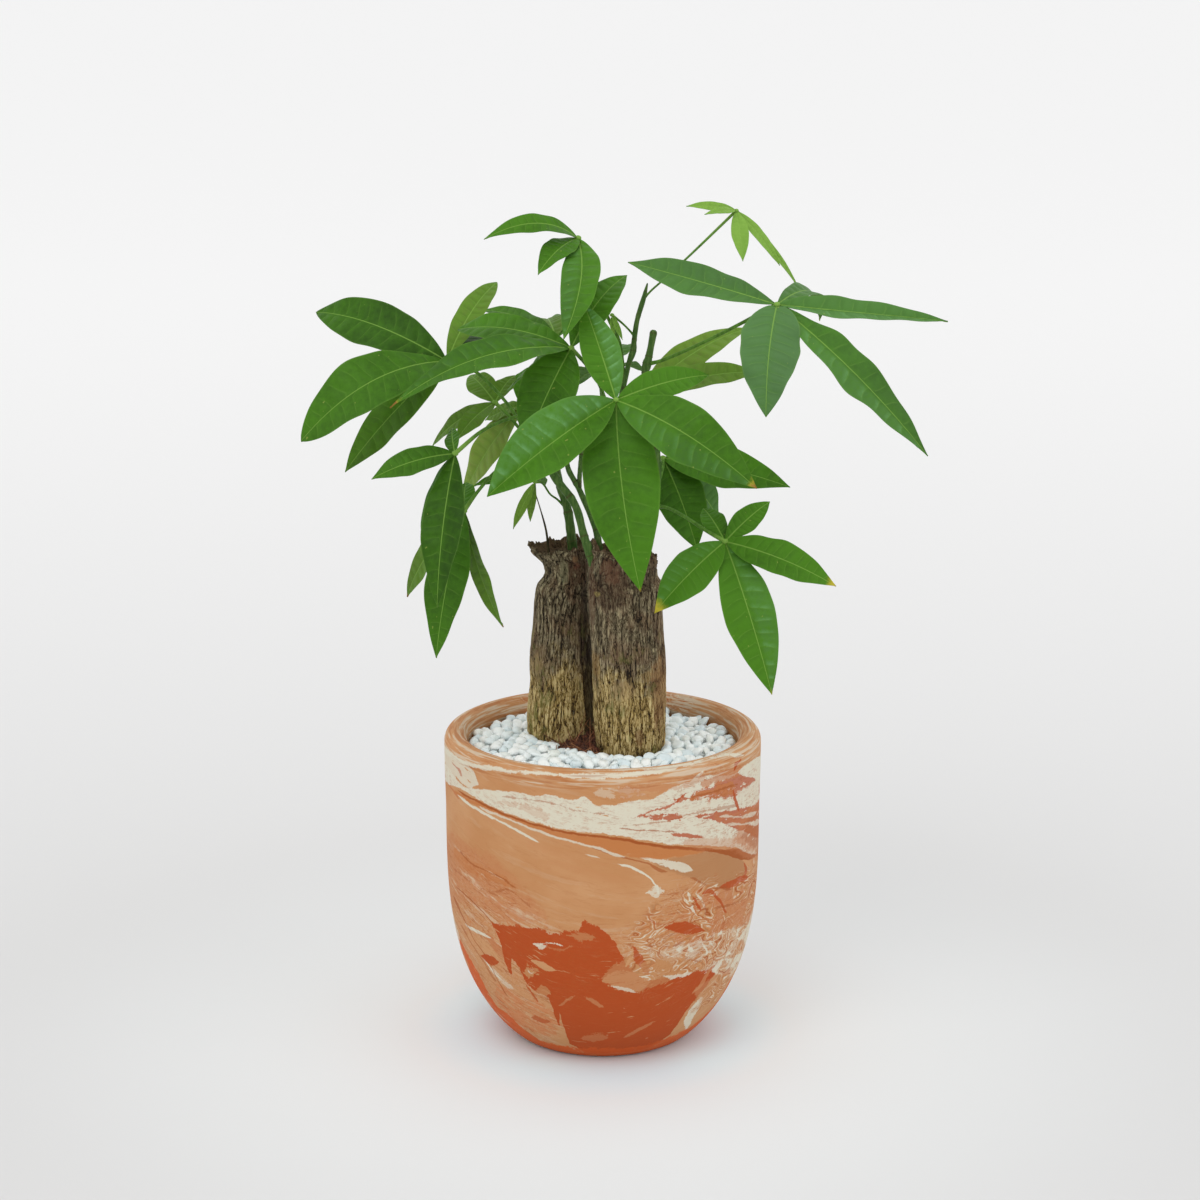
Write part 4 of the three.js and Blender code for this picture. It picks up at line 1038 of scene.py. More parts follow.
# The same on the side away from the front, as (degrees from the back, height in millimetres).
FAR_SIDE = [
    wash("blush", 0.6, [(-80, 120), (-40, 108), (10, 112), (60, 124)],
        [(-80, 96), (-40, 84), (10, 90), (60, 96)], 4, 0.35, 3),
    wash("glow", 0.7, [(-95, 60), (-30, 78), (40, 66), (95, 70)],
        [(-95, 20), (-30, 30), (40, 24), (95, 24)], 4, 0.2, 3),
    wash("slip", 1,
        [(-96, 168), (-80, 170), (-60, 162), (-38, 158), (-12, 165), (14, 160), (34, 163), (60, 158),
         (80, 164), (96, 168)],
        [(-96, 150), (-80, 148), (-60, 151), (-38, 146), (-12, 150), (14, 149), (34, 152), (60, 150),
         (80, 156), (96, 160)], 0.9, 0.2),
    wash("rust", 0.9, [(-70, 160), (-50, 158), (-30, 152)], [(-70, 156), (-50, 153), (-30, 151)], 1.6,
        0.25),
    trail("line", 0.8, 1.6, [(-96, 147), (-60, 148), (-20, 146), (20, 146), (60, 147), (96, 156)], 0.8),
    trail("slip", 0.8, 1.6, [(-60, 140), (-30, 134), (0, 130), (24, 122)], 0.6),
    wash("amber", 0.8, [(-96, 149), (-50, 147), (0, 149), (50, 150), (96, 156)],
        [(-96, 143), (-50, 140), (0, 144), (50, 147), (96, 152)], 0.8, 0.15, 0.6),
    trail("slip", 0.9, 2.2, [(-80, 136), (-55, 128), (-35, 118), (-20, 107)]),
    trail("slip", 0.8, 1.6, [(10, 126), (35, 118), (60, 114), (85, 116)], 0.5),
    wash("slip", 0.9, [(20, 104), (36, 98), (50, 92)], [(20, 101), (36, 92), (50, 88)], 1.2, 0.2),
    wash("shadow", 0.7, [(-60, 112), (-36, 120), (-10, 116)], [(-60, 106), (-36, 100), (-10, 104)], 1, 0,
        1),
    trail("line", 0.7, 1.8, [(-62, 110), (-40, 101), (-14, 103), (-4, 110)], 0.6),
    wash("rust", 0.95,
        [(-56, 64), (-46, 76), (-40, 70), (-30, 84), (-18, 79), (-8, 91), (4, 82), (12, 86), (22, 70),
         (34, 67), (48, 56)],
        [(-56, 62), (-44, 52), (-38, 40), (-24, 37), (-14, 20), (4, 17), (16, 27), (24, 24), (34, 42),
         (48, 52)], 2.4, 0.15),
    wash("clay", 0.8, [(-30, 72), (-12, 76), (4, 66)], [(-30, 63), (-12, 64), (4, 58)], 2.2, 0.2),
    trail("glow", 0.9, 3.4, [(-20, 44), (0, 39), (22, 46)], 1),
    trail("slip", 0.8, 1.8, [(-34, 58), (-24, 50), (-8, 52)], 0.8),
    wash("slip", 0.7, [(50, 92), (72, 84), (98, 76)], [(50, 80), (72, 62), (98, 50)], 4, 0.5, 0.5),
    wash("slip", 0.7, [(-98, 84), (-76, 78), (-58, 62)], [(-98, 52), (-76, 56), (-58, 54)], 4, 0.5, 0.5),
    trail("slip", 0.9, 1.8, [(-96, 177), (-40, 174), (10, 177), (60, 174), (96, 177)], 0.6),
    wash("ember", 0.9, [(-100, 14), (-60, 18), (-20, 10), (30, 14), (70, 12), (100, 16)], [], 1.6, 0.05),
]


def on_wall(pot, sightings):
    """Where the sightings meet the planter's outside, as (degrees from the front, height in metres): the
    first step along each ray that is inside the wall's radius, or the step nearest to it."""
    ways = rays(*np.array(sightings, float).T)
    spots = EYE + ways[:, None] * np.linspace(*WALL_STEPS)[None, :, None]
    proud = np.hypot(spots[..., 0], spots[..., 1]) - wall_radius(pot, spots[..., 2])
    proud = np.where(spots[..., 2] < 0, 1, proud)
    first = np.where((proud <= 0).any(1), np.argmax(proud <= 0, axis=1), np.argmin(proud, axis=1))
    x, y, z = spots[np.arange(len(first)), first].T
    return np.stack([np.degrees(np.arctan2(x, -y)), z], -1)


def clay_finish(pot):
    """Tan clay marbled with slips. Each patch or trail of slip is where both its edges are on its far
    side, by a distance that noise makes uneven. Noise drawn out along the way in which the slips ran
    draws fine streaks, and warped noise cut into bands draws the swirls."""
    clay = Finish("marbled_clay", **{name: getattr(pot, name) for name in PAINTS})
    moved = clay.wander(150, 0.9 * MM, detail=3)
    x, y, z = clay.axes(place=moved)
    lift = clay.between(z, 0.06, 0.12)
    run = z + x * lift * 0.17 - x * x * (5 - 3.4 * lift)
    flow = clay.node("ShaderNodeCombineXYZ", None, {0: x * 0.1, 1: y * 0.1, 2: run})
    broad = clay.noise(150, place=flow, detail=4, roughness=0.6)
    fine = clay.noise(520, place=flow, detail=4, roughness=0.65)
    scratch = clay.noise(900, place=flow, detail=3, roughness=0.6)
    blot = clay.noise(230, detail=5, roughness=0.65)
    streaks = 0.55 * broad + 0.45 * fine
    uneven = (streaks + blot - 1) * 3.2 + (clay.noise(1100, detail=3, roughness=0.6) - 0.5) * 2
    missing = 0.5 * fine + 0.3 * blot + 0.2 * broad
    still_x, still_y, still_z = clay.axes()
    radius = clay.maths("SQRT", still_x * still_x + still_y * still_y)
    outer = clay.most(clay.between(radius, 0.0825, 0.0845), clay.between(still_z, 0.16, 0.155))
    inside = 1 - outer
    turn = clay.maths("ARCTAN2", x, -y) / math.tau
    opposite = clay.maths("FRACT", turn + 1) - 0.5
    turns = [share * (360 / FRONT_SPAN) + 0.5 + OFF_CURVE * inside for share in (turn, opposite)]
    height = z / pot.height + OFF_CURVE * inside
    uneven_by, gaps_by = {}, {}

    def outline(edge, back, upright, sign, scale):
        """A curve's points along an edge of a slip. Past its ends they turn inwards, by millimetres over
        the scale."""
        places = np.array(edge, float) * [1, MM] if back else on_wall(pot, edge)
        points = np.stack([places[:, 0] / FRONT_SPAN + 0.5, places[:, 1] / pot.height], -1)
        points = points[:, ::-1] if upright else points
        points = points[np.argsort(points[:, 0])]
        past = np.array([CURVE_END_RUN, sign * CURVE_END_DROP / scale])
        return [tuple(points[0] - past), *map(tuple, points), tuple(points[-1] + past * [1, -1])]

    def cover(item, back=0):
        """How far a slip covers the clay: the smaller of the distances inside its two edges, in
        millimetres, with the noise of a ragged edge added."""
        upright, ragged, holes = item["upright"], item["ragged"], item["holes"]
        edges, along, over, scale = (item["upper"], item["lower"]), turns[back], height, pot.height / MM
        if upright:
            edges, along, over = edges[::-1], height, turns[back]
            scale = math.radians(FRONT_SPAN) * pot.width / 2 / MM
        within = []
        for edge, sign in zip(edges, (1, -1)):
            if len(edge):
                line = clay.curve(along, outline(edge, back, upright, sign, scale))
                within.append(line - over if sign > 0 else over - line)
        gap = clay.maths("MINIMUM", *within) if len(within) > 1 else within[0]
        uneven_by[ragged] = uneven_by.get(ragged) or uneven * ragged
        gap = clay.maths("MULTIPLY_ADD", gap, scale, uneven_by[ragged])
        covered = clay.between(gap, -item["soft"], item["soft"], item["share"])
        if holes:
            least = 0.34 + 0.2 * holes
            gaps_by[holes] = gaps_by.get(holes) or clay.between(missing, least, least + 0.03)
            covered = covered * gaps_by[holes]
        return covered

    # where the slips swirled, on the front and on parts of the back
    back_swirls = clay.between(y, 0.01, 0.04) * clay.between(clay.noise(22, detail=2), 0.45, 0.6)
    busy = clay.most(*map(cover, SWIRLED), back_swirls)
    right_foot = clay.between(still_x, 0.008, 0.024) * clay.between(still_z, 0.118, 0.106)
    swirling = busy * clay.most(right_foot, back_swirls * 0.7)
    swirling = swirling * clay.between(clay.noise(38, detail=2), 0.4, 0.54)
    # the clouded and streaked ground
    cloud = clay.noise(24, (1, 1, 1.6), detail=3)
    base = clay.mix(clay.between(cloud, 0.35, 0.7), "clay", "glow")
    base = clay.mix(clay.between(streaks, 0.5, 0.62) * (0.14 + 0.25 * busy), base, "blush")
    base = clay.mix(clay.between(streaks, 0.47, 0.38) * (0.08 + 0.35 * busy), base, "slip")
    # the swirls' bands and curls
    swirl = clay.noise(58, (1, 1, 1.7), moved, detail=1.5, roughness=0.5, distortion=1)
    layers = clay.maths("FRACT", swirl * 4.5)
    bands = clay.ramp(
        layers, (0, "line"), (0.07, "clay"), (0.2, "glow"), (0.27, "slip"), (0.33, "glow"), (0.42, "clay"),
        (0.5, "shadow"), (0.55, "amber"), (0.6, "glow"), (0.74, "clay"), (0.8, "slip"), (0.83, "clay"),
        (0.93, "blush"), (1, "line"),
    )
    base = clay.mix(busy * 0.15 + swirling * 0.75, base, bands)
    curls = clay.ramp(
        clay.noise(150, (1, 1, 1.5), moved, detail=4, roughness=0.6, distortion=1.6),
        (0.36, "ember"), (0.41, "clay"), (0.45, "blush"), (0.48, "slip"), (0.5, "glow"), (0.54, "clay"),
        (0.57, "blush"), (0.6, "glow"), (0.64, "rust"),
    )
    base = clay.mix(busy * 0.2, base, curls)
    thread = clay.between(abs(broad - 0.5), 0.014, 0.004)
    base = clay.mix(thread * (0.12 + 0.5 * busy), base, "line")
    # the slips, and the swirls again where they aren't burnt
    rusty = 0
    for item, back in [(item, 0) for item in MARBLING] + [(item, 1) for item in FAR_SIDE]:
        covered = cover(item, back)
        base = clay.mix(covered, base, item["paint"])
        if item["paint"] in ("rust", "ember"):
            rusty = clay.most(rusty, covered)
    curled = swirling * (1 - rusty) * clay.between(clay.noise(110, detail=3), 0.42, 0.5)
    base = clay.mix(curled * 0.85, base, bands)
    inked = clay.between(abs(layers - 0.5), 0.45, 0.485) * clay.between(blot, 0.36, 0.46)
    base = clay.mix(inked * curled * 0.8, base, "line")
    creamed = clay.between(abs(layers - 0.275), 0.07, 0.05) * clay.between(broad, 0.46, 0.54)
    base = clay.mix(creamed * curled * 0.75, base, "slip")
    # fine lines, scratches, blots and flecks over everything
    streaked = cover(GREAT_STREAK)
    lines = clay.between(abs(fine - 0.47), 0.02, 0.004) * clay.between(blot, 0.42, 0.52)
    base = clay.mix(lines * (0.1 + 0.3 * busy + 0.3 * streaked), base, "line")
    threads = clay.between(abs(scratch - 0.52), 0.03, 0.008) * clay.between(blot, 0.46, 0.56)
    base = clay.mix(threads * (0.05 + 0.06 * busy + 0.3 * streaked), base, "amber")
    base = clay.mix(clay.between(scratch, 0.58, 0.68) * (0.05 + 0.06 * busy), base, "glow")
    base = clay.mix(clay.between(scratch, 0.42, 0.33) * (0.05 + 0.04 * busy), base, "amber")
    base = clay.mix(clay.between(blot, 0.58, 0.7) * (0.05 + 0.06 * busy), base, "ember")
    flecks = clay.between(scratch, 0.64, 0.67) * clay.between(broad, 0.5, 0.58) * clay.between(z, 0.1, 0.08)
    base = clay.mix(flecks * outer * 0.7, base, "glow")
    # the rings turned on the lip and inside
    circle = clay.node("ShaderNodeCombineXYZ", None, {0: radius, 1: turn * 0.03, 2: still_z})
    rings = clay.noise(560, place=circle, detail=3, roughness=0.6)
    lip = clay.most(inside, clay.between(still_z, 0.1685, 0.172))
    base = clay.mix(lip * clay.between(rings, 0.5, 0.6) * 0.55, base, "slip")
    base = clay.mix(lip * clay.between(rings, 0.45, 0.38) * 0.4, base, "line")
    grain = clay.noise(1500, detail=3)
    relief = 0.12 * grain + 0.35 * clay.noise(55, detail=2) + 0.2 * streaks
    return clay.done(base, 0.62 + 0.2 * grain, relief, depth=0.6 * MM, strength=0.35, gloss=CLAY_GLOSS)


# ---------------------------------------------------------------- soil and pebbles


def strands(starts, ways, bends, lengths, radius, rows=6, columns=4):
    """Thin tubes, one for each start, along its way and bent aside by the square of the share run."""
    starts, ways, bends = (np.asarray(v, float)[:, None] for v in (starts, ways, bends))
    lengths = np.asarray(lengths, float)[:, None, None]
    share = np.linspace(0, 1, rows)[None, :, None]
    path = starts + lengths * (ways * share + bends * share**2)
    out = unit(np.cross(ways, bends))
    over = unit(np.cross(ways, out))
    turns = full_turn(columns)[None, None, :, None]
    rings = np.cos(turns) * out[:, :, None] + np.sin(turns) * over[:, :, None]
    return path[:, :, None] + np.asarray(radius).reshape(-1, 1, 1, 1) * (1 - 0.7 * share[..., None]) * rings


def trunk_sections(trunk):
    """A trunk's middle and half width at each height, from its top to its buried end."""
    left, right, down = np.array(trunk["outline"], float).T
    depth = np.full(len(down), trunk["depth"], float)
    from_left, to_right = sight(np.stack([left, down, depth], 1)), sight(np.stack([right, down, depth], 1))
    middle, half = (from_left + to_right) / 2, np.linalg.norm(to_right - from_left, axis=1) / 2
    root = np.array([[*middle[-1, :2], TRUNK_ROOT, 0.8 * half[-1]]])
    return np.vstack([np.column_stack([middle, half]), root])


def build_soil(pot, bed):
    """Fills the planter up to the pebbles, with mounds of loose coir between the feet of the trunks."""
    random = np.random.default_rng(41)
    floor = FLOOR_RISE * pot.wall + CLEARANCE
    up = np.linspace(TURN_RISE * pot.wall, SOIL_LEVEL, 20)
    edge = inner_radius(pot, SOIL_LEVEL) - CLEARANCE
    inward = np.linspace(1, 0.02, 30)[1:]
    start = inner_radius(pot, floor) - pot.wall / 2 - CLEARANCE
    radius = np.concatenate([[0.002, start], inner_radius(pot, up) - CLEARANCE, edge * inward])
    height = np.concatenate([[floor, floor], up, np.full(len(inward), SOIL_LEVEL)])
    ground = revolved(radius, height, SOIL_COLUMNS)
    top = len(radius) - len(inward)
    around, along = shares(len(radius), SOIL_COLUMNS)
    crumbs = 0.8 * ripples(around, along, (60, 50), 5) + 0.5 * ripples(around, along, (110, 90), 6)
    ground[top:, :, 2] += crumbs[top:] * MM
    shape = Shape()
    shape.add(ground)
    mound = sphere(MOUND_ROWS, MOUND_COLUMNS)
    u, v = shares(MOUND_ROWS, MOUND_COLUMNS)
    lumps = 1 + 0.12 * ripples(u, v, (10, 8), 7) + 0.08 * ripples(u, v, (26, 18), 8)
    lumps = lumps + 0.05 * ripples(u, v, (60, 40), 9)
    count = MOUND_FIBRES
    for sighted, size in MOUNDS:
        place = sight([sighted])[0] * [1, 1, 0] + [0, 0, SOIL_LEVEL]
        shape.add(place + mound * lumps[..., None] * size)
        out = unit(random.normal(size=(count, 3)) * [1, 1, 0.7] + [0, -0.2, 0.5])
        starts = place + out * size * 0.97
        ways = unit(random.normal(size=(count, 3)) + 0.1 * out)
        bends = 0.6 * random.normal(size=(count, 3)) - 0.4 * out
        lengths, radii = (random.uniform(*span, count) * MM for span in ((4, 10), (0.2, 0.5)))
        fibres = strands(starts, ways, bends, lengths, radii)
        fibres[..., 2] = np.maximum(fibres[..., 2], SOIL_LEVEL)
        shape.add(fibres, fibre=random.random(count)[:, None, None] * 0.7 + 0.3)
    shape.piece("potting_soil", "soil", [soil_finish(bed)], "soil")


def soil_finish(bed):
    """Reddish-brown coir: crumbs of three shades, with paler fibres."""
    coir = Finish("coir")
    crumb = coir.noise(700, detail=4, roughness=0.7)
    patch = coir.noise(160, detail=2)
    fibre = coir.given("fibre")
    earth = coir.ramp(crumb, (0.3, "1E100A"), (0.52, bed.soil), (0.7, "8A5434"))
    earth = coir.mix(coir.between(patch, 0.4, 0.65) * 0.6, earth, "2A1710")
    earth = coir.mix(fibre * fibre * 1.3, earth, coir.ramp(patch, (0.35, "7E4630"), (0.65, "B88258")))
    return coir.done(earth, 0.9, crumb, depth=1.2 * MM, strength=0.8)


def scattered(random, reach, spacing, blocked):
    """Places spread evenly over a disc: a sunflower spiral, jittered, then pushed apart, kept off what is
    blocked. `blocked` holds (x, y, radius) rows."""
    count = int(math.pi * reach**2 / (0.86 * spacing**2))
    number = np.arange(count) + 0.5
    radius, turn = reach * np.sqrt(number / count), number * math.pi * (3 - math.sqrt(5))
    spots = np.stack([radius * np.cos(turn), radius * np.sin(turn)], -1)
    spots = spots + random.normal(size=(count, 2)) * spacing / 6
    for _ in range(40):
        apart = spots[:, None] - spots[None]
        gap = np.linalg.norm(apart, axis=-1) + np.eye(count)
        push = np.clip(spacing - gap, 0, None) * (1 - np.eye(count))
        spots = spots + 0.25 * (apart * (push / gap)[..., None]).sum(1)
        for x, y, room in blocked:
            off = spots - [x, y]
            far = np.linalg.norm(off, axis=1, keepdims=True) + 1e-9
            spots = np.where(far < room, [x, y] + off * room / far, spots)
        far = np.linalg.norm(spots, axis=1, keepdims=True)
        spots = np.where(far > reach, spots * reach / far, spots)
    clear = [np.linalg.norm(spots - [x, y], axis=1) > 0.98 * room for x, y, room in blocked]
    return spots[np.all(clear, axis=0)]


def build_pebbles(pot, bed):
    """Lays pebbles in three layers over the soil, clear of the trunks' feet, of a strip in front of them
    and of the mounds. A pebble is a ball drawn out to three unequal widths, with six flattened sides,
    turned at random."""
    random = np.random.default_rng(23)
    half, inner = bed.pebble / 2, inner_radius(pot, bed.level)
    ends = [trunk_sections(trunk)[-2] for trunk in TRUNKS.values()]
    feet = [(x, y, wide + 0.45 * half) for x, y, _, wide in ends]
    strips = [(x, y - FOOT_GAP, room) for x, y, room in feet]
    mounds = [(*sight([sighted])[0][:2], size[0] * 0.86 + 0.3 * half) for sighted, size in MOUNDS]
    shape = Shape()
    for drop, tight in PEBBLE_LAYERS:
        spots = scattered(random, inner - 1.02 * half, tight * bed.pebble * 0.97, [*feet, *strips, *mounds])
        heap = BED_HEAP * (1 - np.linalg.norm(spots, axis=1) / inner)
        low = bed.level - half * (0.75 + drop) + heap + random.normal(size=len(spots)) * 0.22 * half
        count = len(spots)
        ball = sphere(6, 9)[None] * np.ones((count, 1, 1, 1))
        size = half * random.uniform(0.86, 1.14, (count, 1))
        size = size * random.uniform(0.72, 1.08, (count, 3)) * [1.12, 1, 0.8]
        for _ in range(6):
            side = unit(random.normal(size=(count, 3)))
            level = random.uniform(0.55, 0.88, (count, 1, 1, 1))
            proud = np.einsum("nrci,ni->nrc", ball, side)[..., None]
            ball = ball - np.clip(proud - level, 0, None) * side[:, None, None]
        tilt = unit(random.normal(size=(count, 3)) * 0.28 + [0, 0, 1])
        spin = random.uniform(0, 2 * math.pi, count)
        slope = -(tilt[:, 0] * np.cos(spin) + tilt[:, 1] * np.sin(spin)) / tilt[:, 2]
        first = unit(np.stack([np.cos(spin), np.sin(spin), slope], -1))
        turned = np.stack([first, np.cross(tilt, first), tilt], -1)
        stones = np.einsum("nij,nrcj->nrci", turned, ball * size[:, None, None])
        middles = np.column_stack([spots, low])[:, None, None]
        shape.add(stones + middles, shade=random.random(count)[:, None, None])
    shape.piece("white_pebbles", "pebbles", [pebble_finish(bed)], "pebbles", sharp=math.radians(75))


def pebble_finish(bed):
    """White stone, each faintly blue or cream, with soft grey clouds and a worn satin surface."""
    stone = Finish("white_stone")
    cloud = stone.noise(240, detail=4)
    pale = stone.ramp(stone.given("shade"), (0, "E2EFF3"), (0.4, bed.stone), (0.8, "FCFEFC"), (1, "EEF2EC"))
    pale = stone.mix(stone.between(cloud, 0.55, 0.8) * 0.25, pale, "C4D4D8")
    grain = stone.noise(1500, detail=3)
    return stone.done(pale, 0.42 + 0.2 * grain, 0.5 * cloud + 0.4 * grain, depth=0.5 * MM, strength=0.4)


# ---------------------------------------------------------------- trunks and shoots


def build_trunk(name, trunk, finish):
    """A trunk is round with a fibrous bark: broad lobes, then strips and threads that part and join
    again, between the lines where noise drawn out along the trunk crosses zero. Its top is torn, with
    horns, and hollow."""
    seed = trunk["seed"]
    path = smooth_path(trunk_sections(trunk)[::-1], TRUNK_ROWS)
    axis, level, width = path[:, None, :2], path[:, 2:3], path[:, 3:4]
    u, v = shares(TRUNK_ROWS, TRUNK_COLUMNS)
    turn = 2 * math.pi * u
    drift = u + 0.014 * ripples(u, v, (9, 8), seed) + 0.005 * ripples(u, v, (30, 22), seed + 1)
    lobes = ripples(u, v, (7, 4), seed + 2)
    strip, thread = (
        1 - np.exp(-((ripples(drift, v, cells, seed + n) / wide) ** 2))
        for n, (cells, wide) in enumerate((((64, 11), 0.2), ((124, 28), 0.3)), 3)
    )
    peel = smoothstep(ripples(drift, v, (30, 18), seed + 6), 0.4, 0.65)
    relief = 0.8 * lobes + 0.5 * (strip - 0.75) + 0.28 * (thread - 0.6) + 0.35 * peel
    ridge = np.clip(0.2 + 0.8 * strip * (0.5 + 0.5 * thread) + 0.12 * peel, 0, 1)
    torn = smoothstep(v, *TORN_FROM)
    rise, reach = np.zeros_like(u), -0.03 * np.ones_like(u)
    for degrees, height, out, sharpness in trunk["horns"]:
        near = np.maximum(0, np.cos(turn - math.radians(degrees))) ** sharpness
        rise, reach = rise + height * near, reach + out * near
    jags = 1.6 * ripples(u, v * 0, (15, 1), seed + 7) + 1.3 * ripples(u, v * 0, (37, 1), seed + 8)
    jags = jags + 0.7 * ripples(u, v * 0, (90, 1), seed + 9)
    relief = relief + 1.3 * torn * ripples(u, v, (24, 34), seed + 12)
    for degrees, centre, bulge, wide, tall in trunk["knots"]:
        off = (np.degrees(turn) - degrees + 180) % 360 - 180
        relief = relief + bulge * np.exp(-((off / wide) ** 2) - ((level / MM - centre) / tall) ** 2)
    radius = width * (1 + reach * torn) + relief * MM
    height = level + MM * (rise * torn + jags * np.clip((v - 0.95) / 0.05, 0, 1))
    grid = np.stack([axis[..., 0] + radius * np.cos(turn), axis[..., 1] + radius * np.sin(turn), height], -1)
    # the torn top, which falls to a hollow
    inward = np.linspace(0.955, 0.04, TORN_ROWS)[:, None, None]
    middle = np.array([*path[-1, :2], path[-1, 2] - 2.6 * MM])
    top = middle + (grid[-1][None] - middle) * inward
    fall = 1 - smoothstep(inward[..., 0], 0.66, 0.92)
    top[..., 2] = middle[2] + (grid[-1][None, :, 2] - middle[2]) * (1 - fall)
    crumbs = ripples(*shares(TORN_ROWS, TRUNK_COLUMNS), (46, 9), seed + 10)
    top[..., 2] += 1.7 * MM * crumbs * inward[..., 0]
    shape = Shape()
    cut = np.concatenate([np.zeros_like(u), np.ones((TORN_ROWS, TRUNK_COLUMNS))])
    shape.add(np.concatenate([grid, top]), ridge=np.concatenate([ridge, 0.35 + 0.35 * crumbs]), cut=cut)
    # splinters along the torn edge
    random = np.random.default_rng(seed + 20)
    count = SPLINTERS
    picks = random.integers(0, TRUNK_COLUMNS, count)
    roots = grid[-random.integers(1, 12, count), picks]
    out = unit((roots - np.append(path[-1, :2], 0)) * [1, 1, 0])
    ways = unit(out * random.uniform(0, 0.4, (count, 1)) + [0, 0, 1] + 0.25 * random.normal(size=(count, 3)))
    bends = 0.3 * random.normal(size=(count, 3))
    lengths, radii = (random.uniform(*span, count) * MM for span in ((0.8, 2.2), (0.6, 1.2)))
    splinters = strands(roots, ways, bends, lengths, radii)
    shape.add(splinters, ridge=random.uniform(0.2, 0.9, (count, 1, 1)), cut=0.5)
    shape.piece(name + "_bark", "bark", [finish], name, sharp=math.radians(70))


# Patches on the front of the bark, as (across, down, depth, half width, half height, colour, strength).
BARK_PATCHES = [
    (611, 583, -29, 22, 30, "3E2C20", 0.55), (645, 575, -26, 14, 26, "4A3626", 0.4),
    (578, 566, 4, 12, 22, "4E3424", 0.45), (564, 574, 3, 5, 13, "8F8B6A", 0.6),
    (575, 558, 6, 3.5, 4, "A9825A", 0.5), (577, 566, 6, 4, 5, "7A4632", 0.5),
    (597, 594, -24, 3.5, 3, "A8965A", 0.6), (610, 572, -27, 10, 12, "7C5440", 0.4),
    (537, 664, 5, 6, 10, "A08A60", 0.6), (624, 690, -30, 12, 9, "B0966A", 0.5),
    (648, 676, -27, 7, 6, "9A7E54", 0.45), (594, 668, -22, 6, 15, "9A7A48", 0.45),
    (640, 738, -29, 5, 9, "6B4630", 0.55), (658, 690, -18, 9, 40, "8A6244", 0.55),
    # painted shadow on the left trunk's right flank, in the gap between the trunks
    (589, 694, 9, 5, 62, "1C1410", 0.8), (584, 630, 8, 5, 50, "2A1C18", 0.6),
    (592, 590, -16, 4, 40, "5A3A2C", 0.5),
]


def bark_finish(plant):
    """Bark that is grey-brown above and tan below a ragged line. It has fine dark furrows where noise
    drawn out along the trunk crosses its middle value, and moss, lichen and smooth patches. It is paler on
    its raised ridges and darker in its furrows, partly its own colour and partly painted highlight and
    shade, and has painted shadow in the gap between the trunks."""
    bark = Finish("bark")
    x, z = bark.axes("XZ")
    ridge, cut = bark.given("ridge"), bark.given("cut")
    astray = bark.wander(260, 1.3 * MM, (1, 1, 0.6))
    fibres = bark.noise(1100, (1, 1, 0.22), astray, detail=4, roughness=0.75)
    crossing = bark.noise(620, (1, 1, 0.17), astray, detail=3, roughness=0.6)
    strip = bark.noise(240, (1, 1, 0.16), astray, detail=3, roughness=0.55, distortion=0.4)
    furrow = bark.between(abs(crossing - 0.5), 0.005, 0.06) * bark.between(abs(strip - 0.5), 0.0, 0.028)
    patch = bark.noise(70, (1, 1, 0.7), detail=4)
    small = bark.noise(260, (1, 1, 0.4), detail=4, roughness=0.65)
    # paler where the bark stands out and darker in its furrows, partly its own colour and partly painted
    # highlight and shade
    high = ridge * 0.42 + furrow * 0.32 + fibres * 0.95 - 0.375
    upper = bark.ramp(
        high, (0.2, "120D09"), (0.38, "362D20"), (0.56, "625741"), (0.76, plant.young_bark), (0.95, "B5A884")
    )
    lower = bark.ramp(
        high, (0.2, plant.furrow), (0.38, "54401F"), (0.54, "937C48"), (0.72, plant.old_bark),
        (0.95, "D6C490"),
    )
    reddish = bark.mix(bark.between(patch, 0.44, 0.6) * 0.4, upper, "7C5A45")
    upper = bark.mix(bark.between(high, 0.3, 0.5), upper, reddish)
    line = z + 0.07 * (patch - 0.5) + 0.03 * (small - 0.5) + 0.03 * (fibres - 0.5)
    shade = bark.mix(bark.between(line, *BARK_LINE), upper, lower)
    ragged = 1.5 * (small - 0.5) + 1.3 * (fibres - 0.5)
    for across, down, depth, wide, tall, colouring, strength in BARK_PATCHES:
        off = bark.vector("SUBTRACT", bark.place, tuple(sight([(across, down, depth)])[0]))
        off = bark.vector("MULTIPLY", off, (1 / (wide * SIGHTING), 1 / PATCH_DEPTH, 1 / (tall * SIGHTING)))
        away = bark.node("ShaderNodeVectorMath", {"operation": "LENGTH"}, {0: off}, 1)
        spot = bark.between(away + ragged, 1.15, 0.75) * bark.between(high, 0.15, 0.5)
        shade = bark.mix(spot * strength, shade, colouring)
    moss = bark.between(patch, 0.52, 0.66) * bark.between(small, 0.42, 0.6) * bark.between(z, 0.26, 0.22)
    shade = bark.mix(moss * 0.55, shade, "75793F")
    shade = bark.mix(bark.between(small, 0.62, 0.72) * 0.4, shade, "9A9A80")
    warm = bark.between(x, 0.028, 0.042) * bark.between(small, 0.35, 0.6)
    shade = bark.mix(warm * 0.5, shade, "8A5C3A")
    shade = bark.mix(cut * 0.6, shade, bark.ramp(fibres, (0.3, "2A1D16"), (0.7, "86694C")))
    relief = furrow * 0.6 + fibres * 0.5 + small * 0.3
    return bark.done(shade, 0.82 + 0.12 * fibres, relief, depth=0.7 * MM, strength=0.6, gloss=BARK_GLOSS)


def limb_path(places, count):
    """The path and radius of a limb at `count` rows, from its places [across, down, depth, radius]."""
    places = np.array(places, float)
    rows = smooth_path(np.column_stack([sight(places[:, :3]), places[:, 3] * MM]), count)
    return rows[:, :3], rows[:, 3]


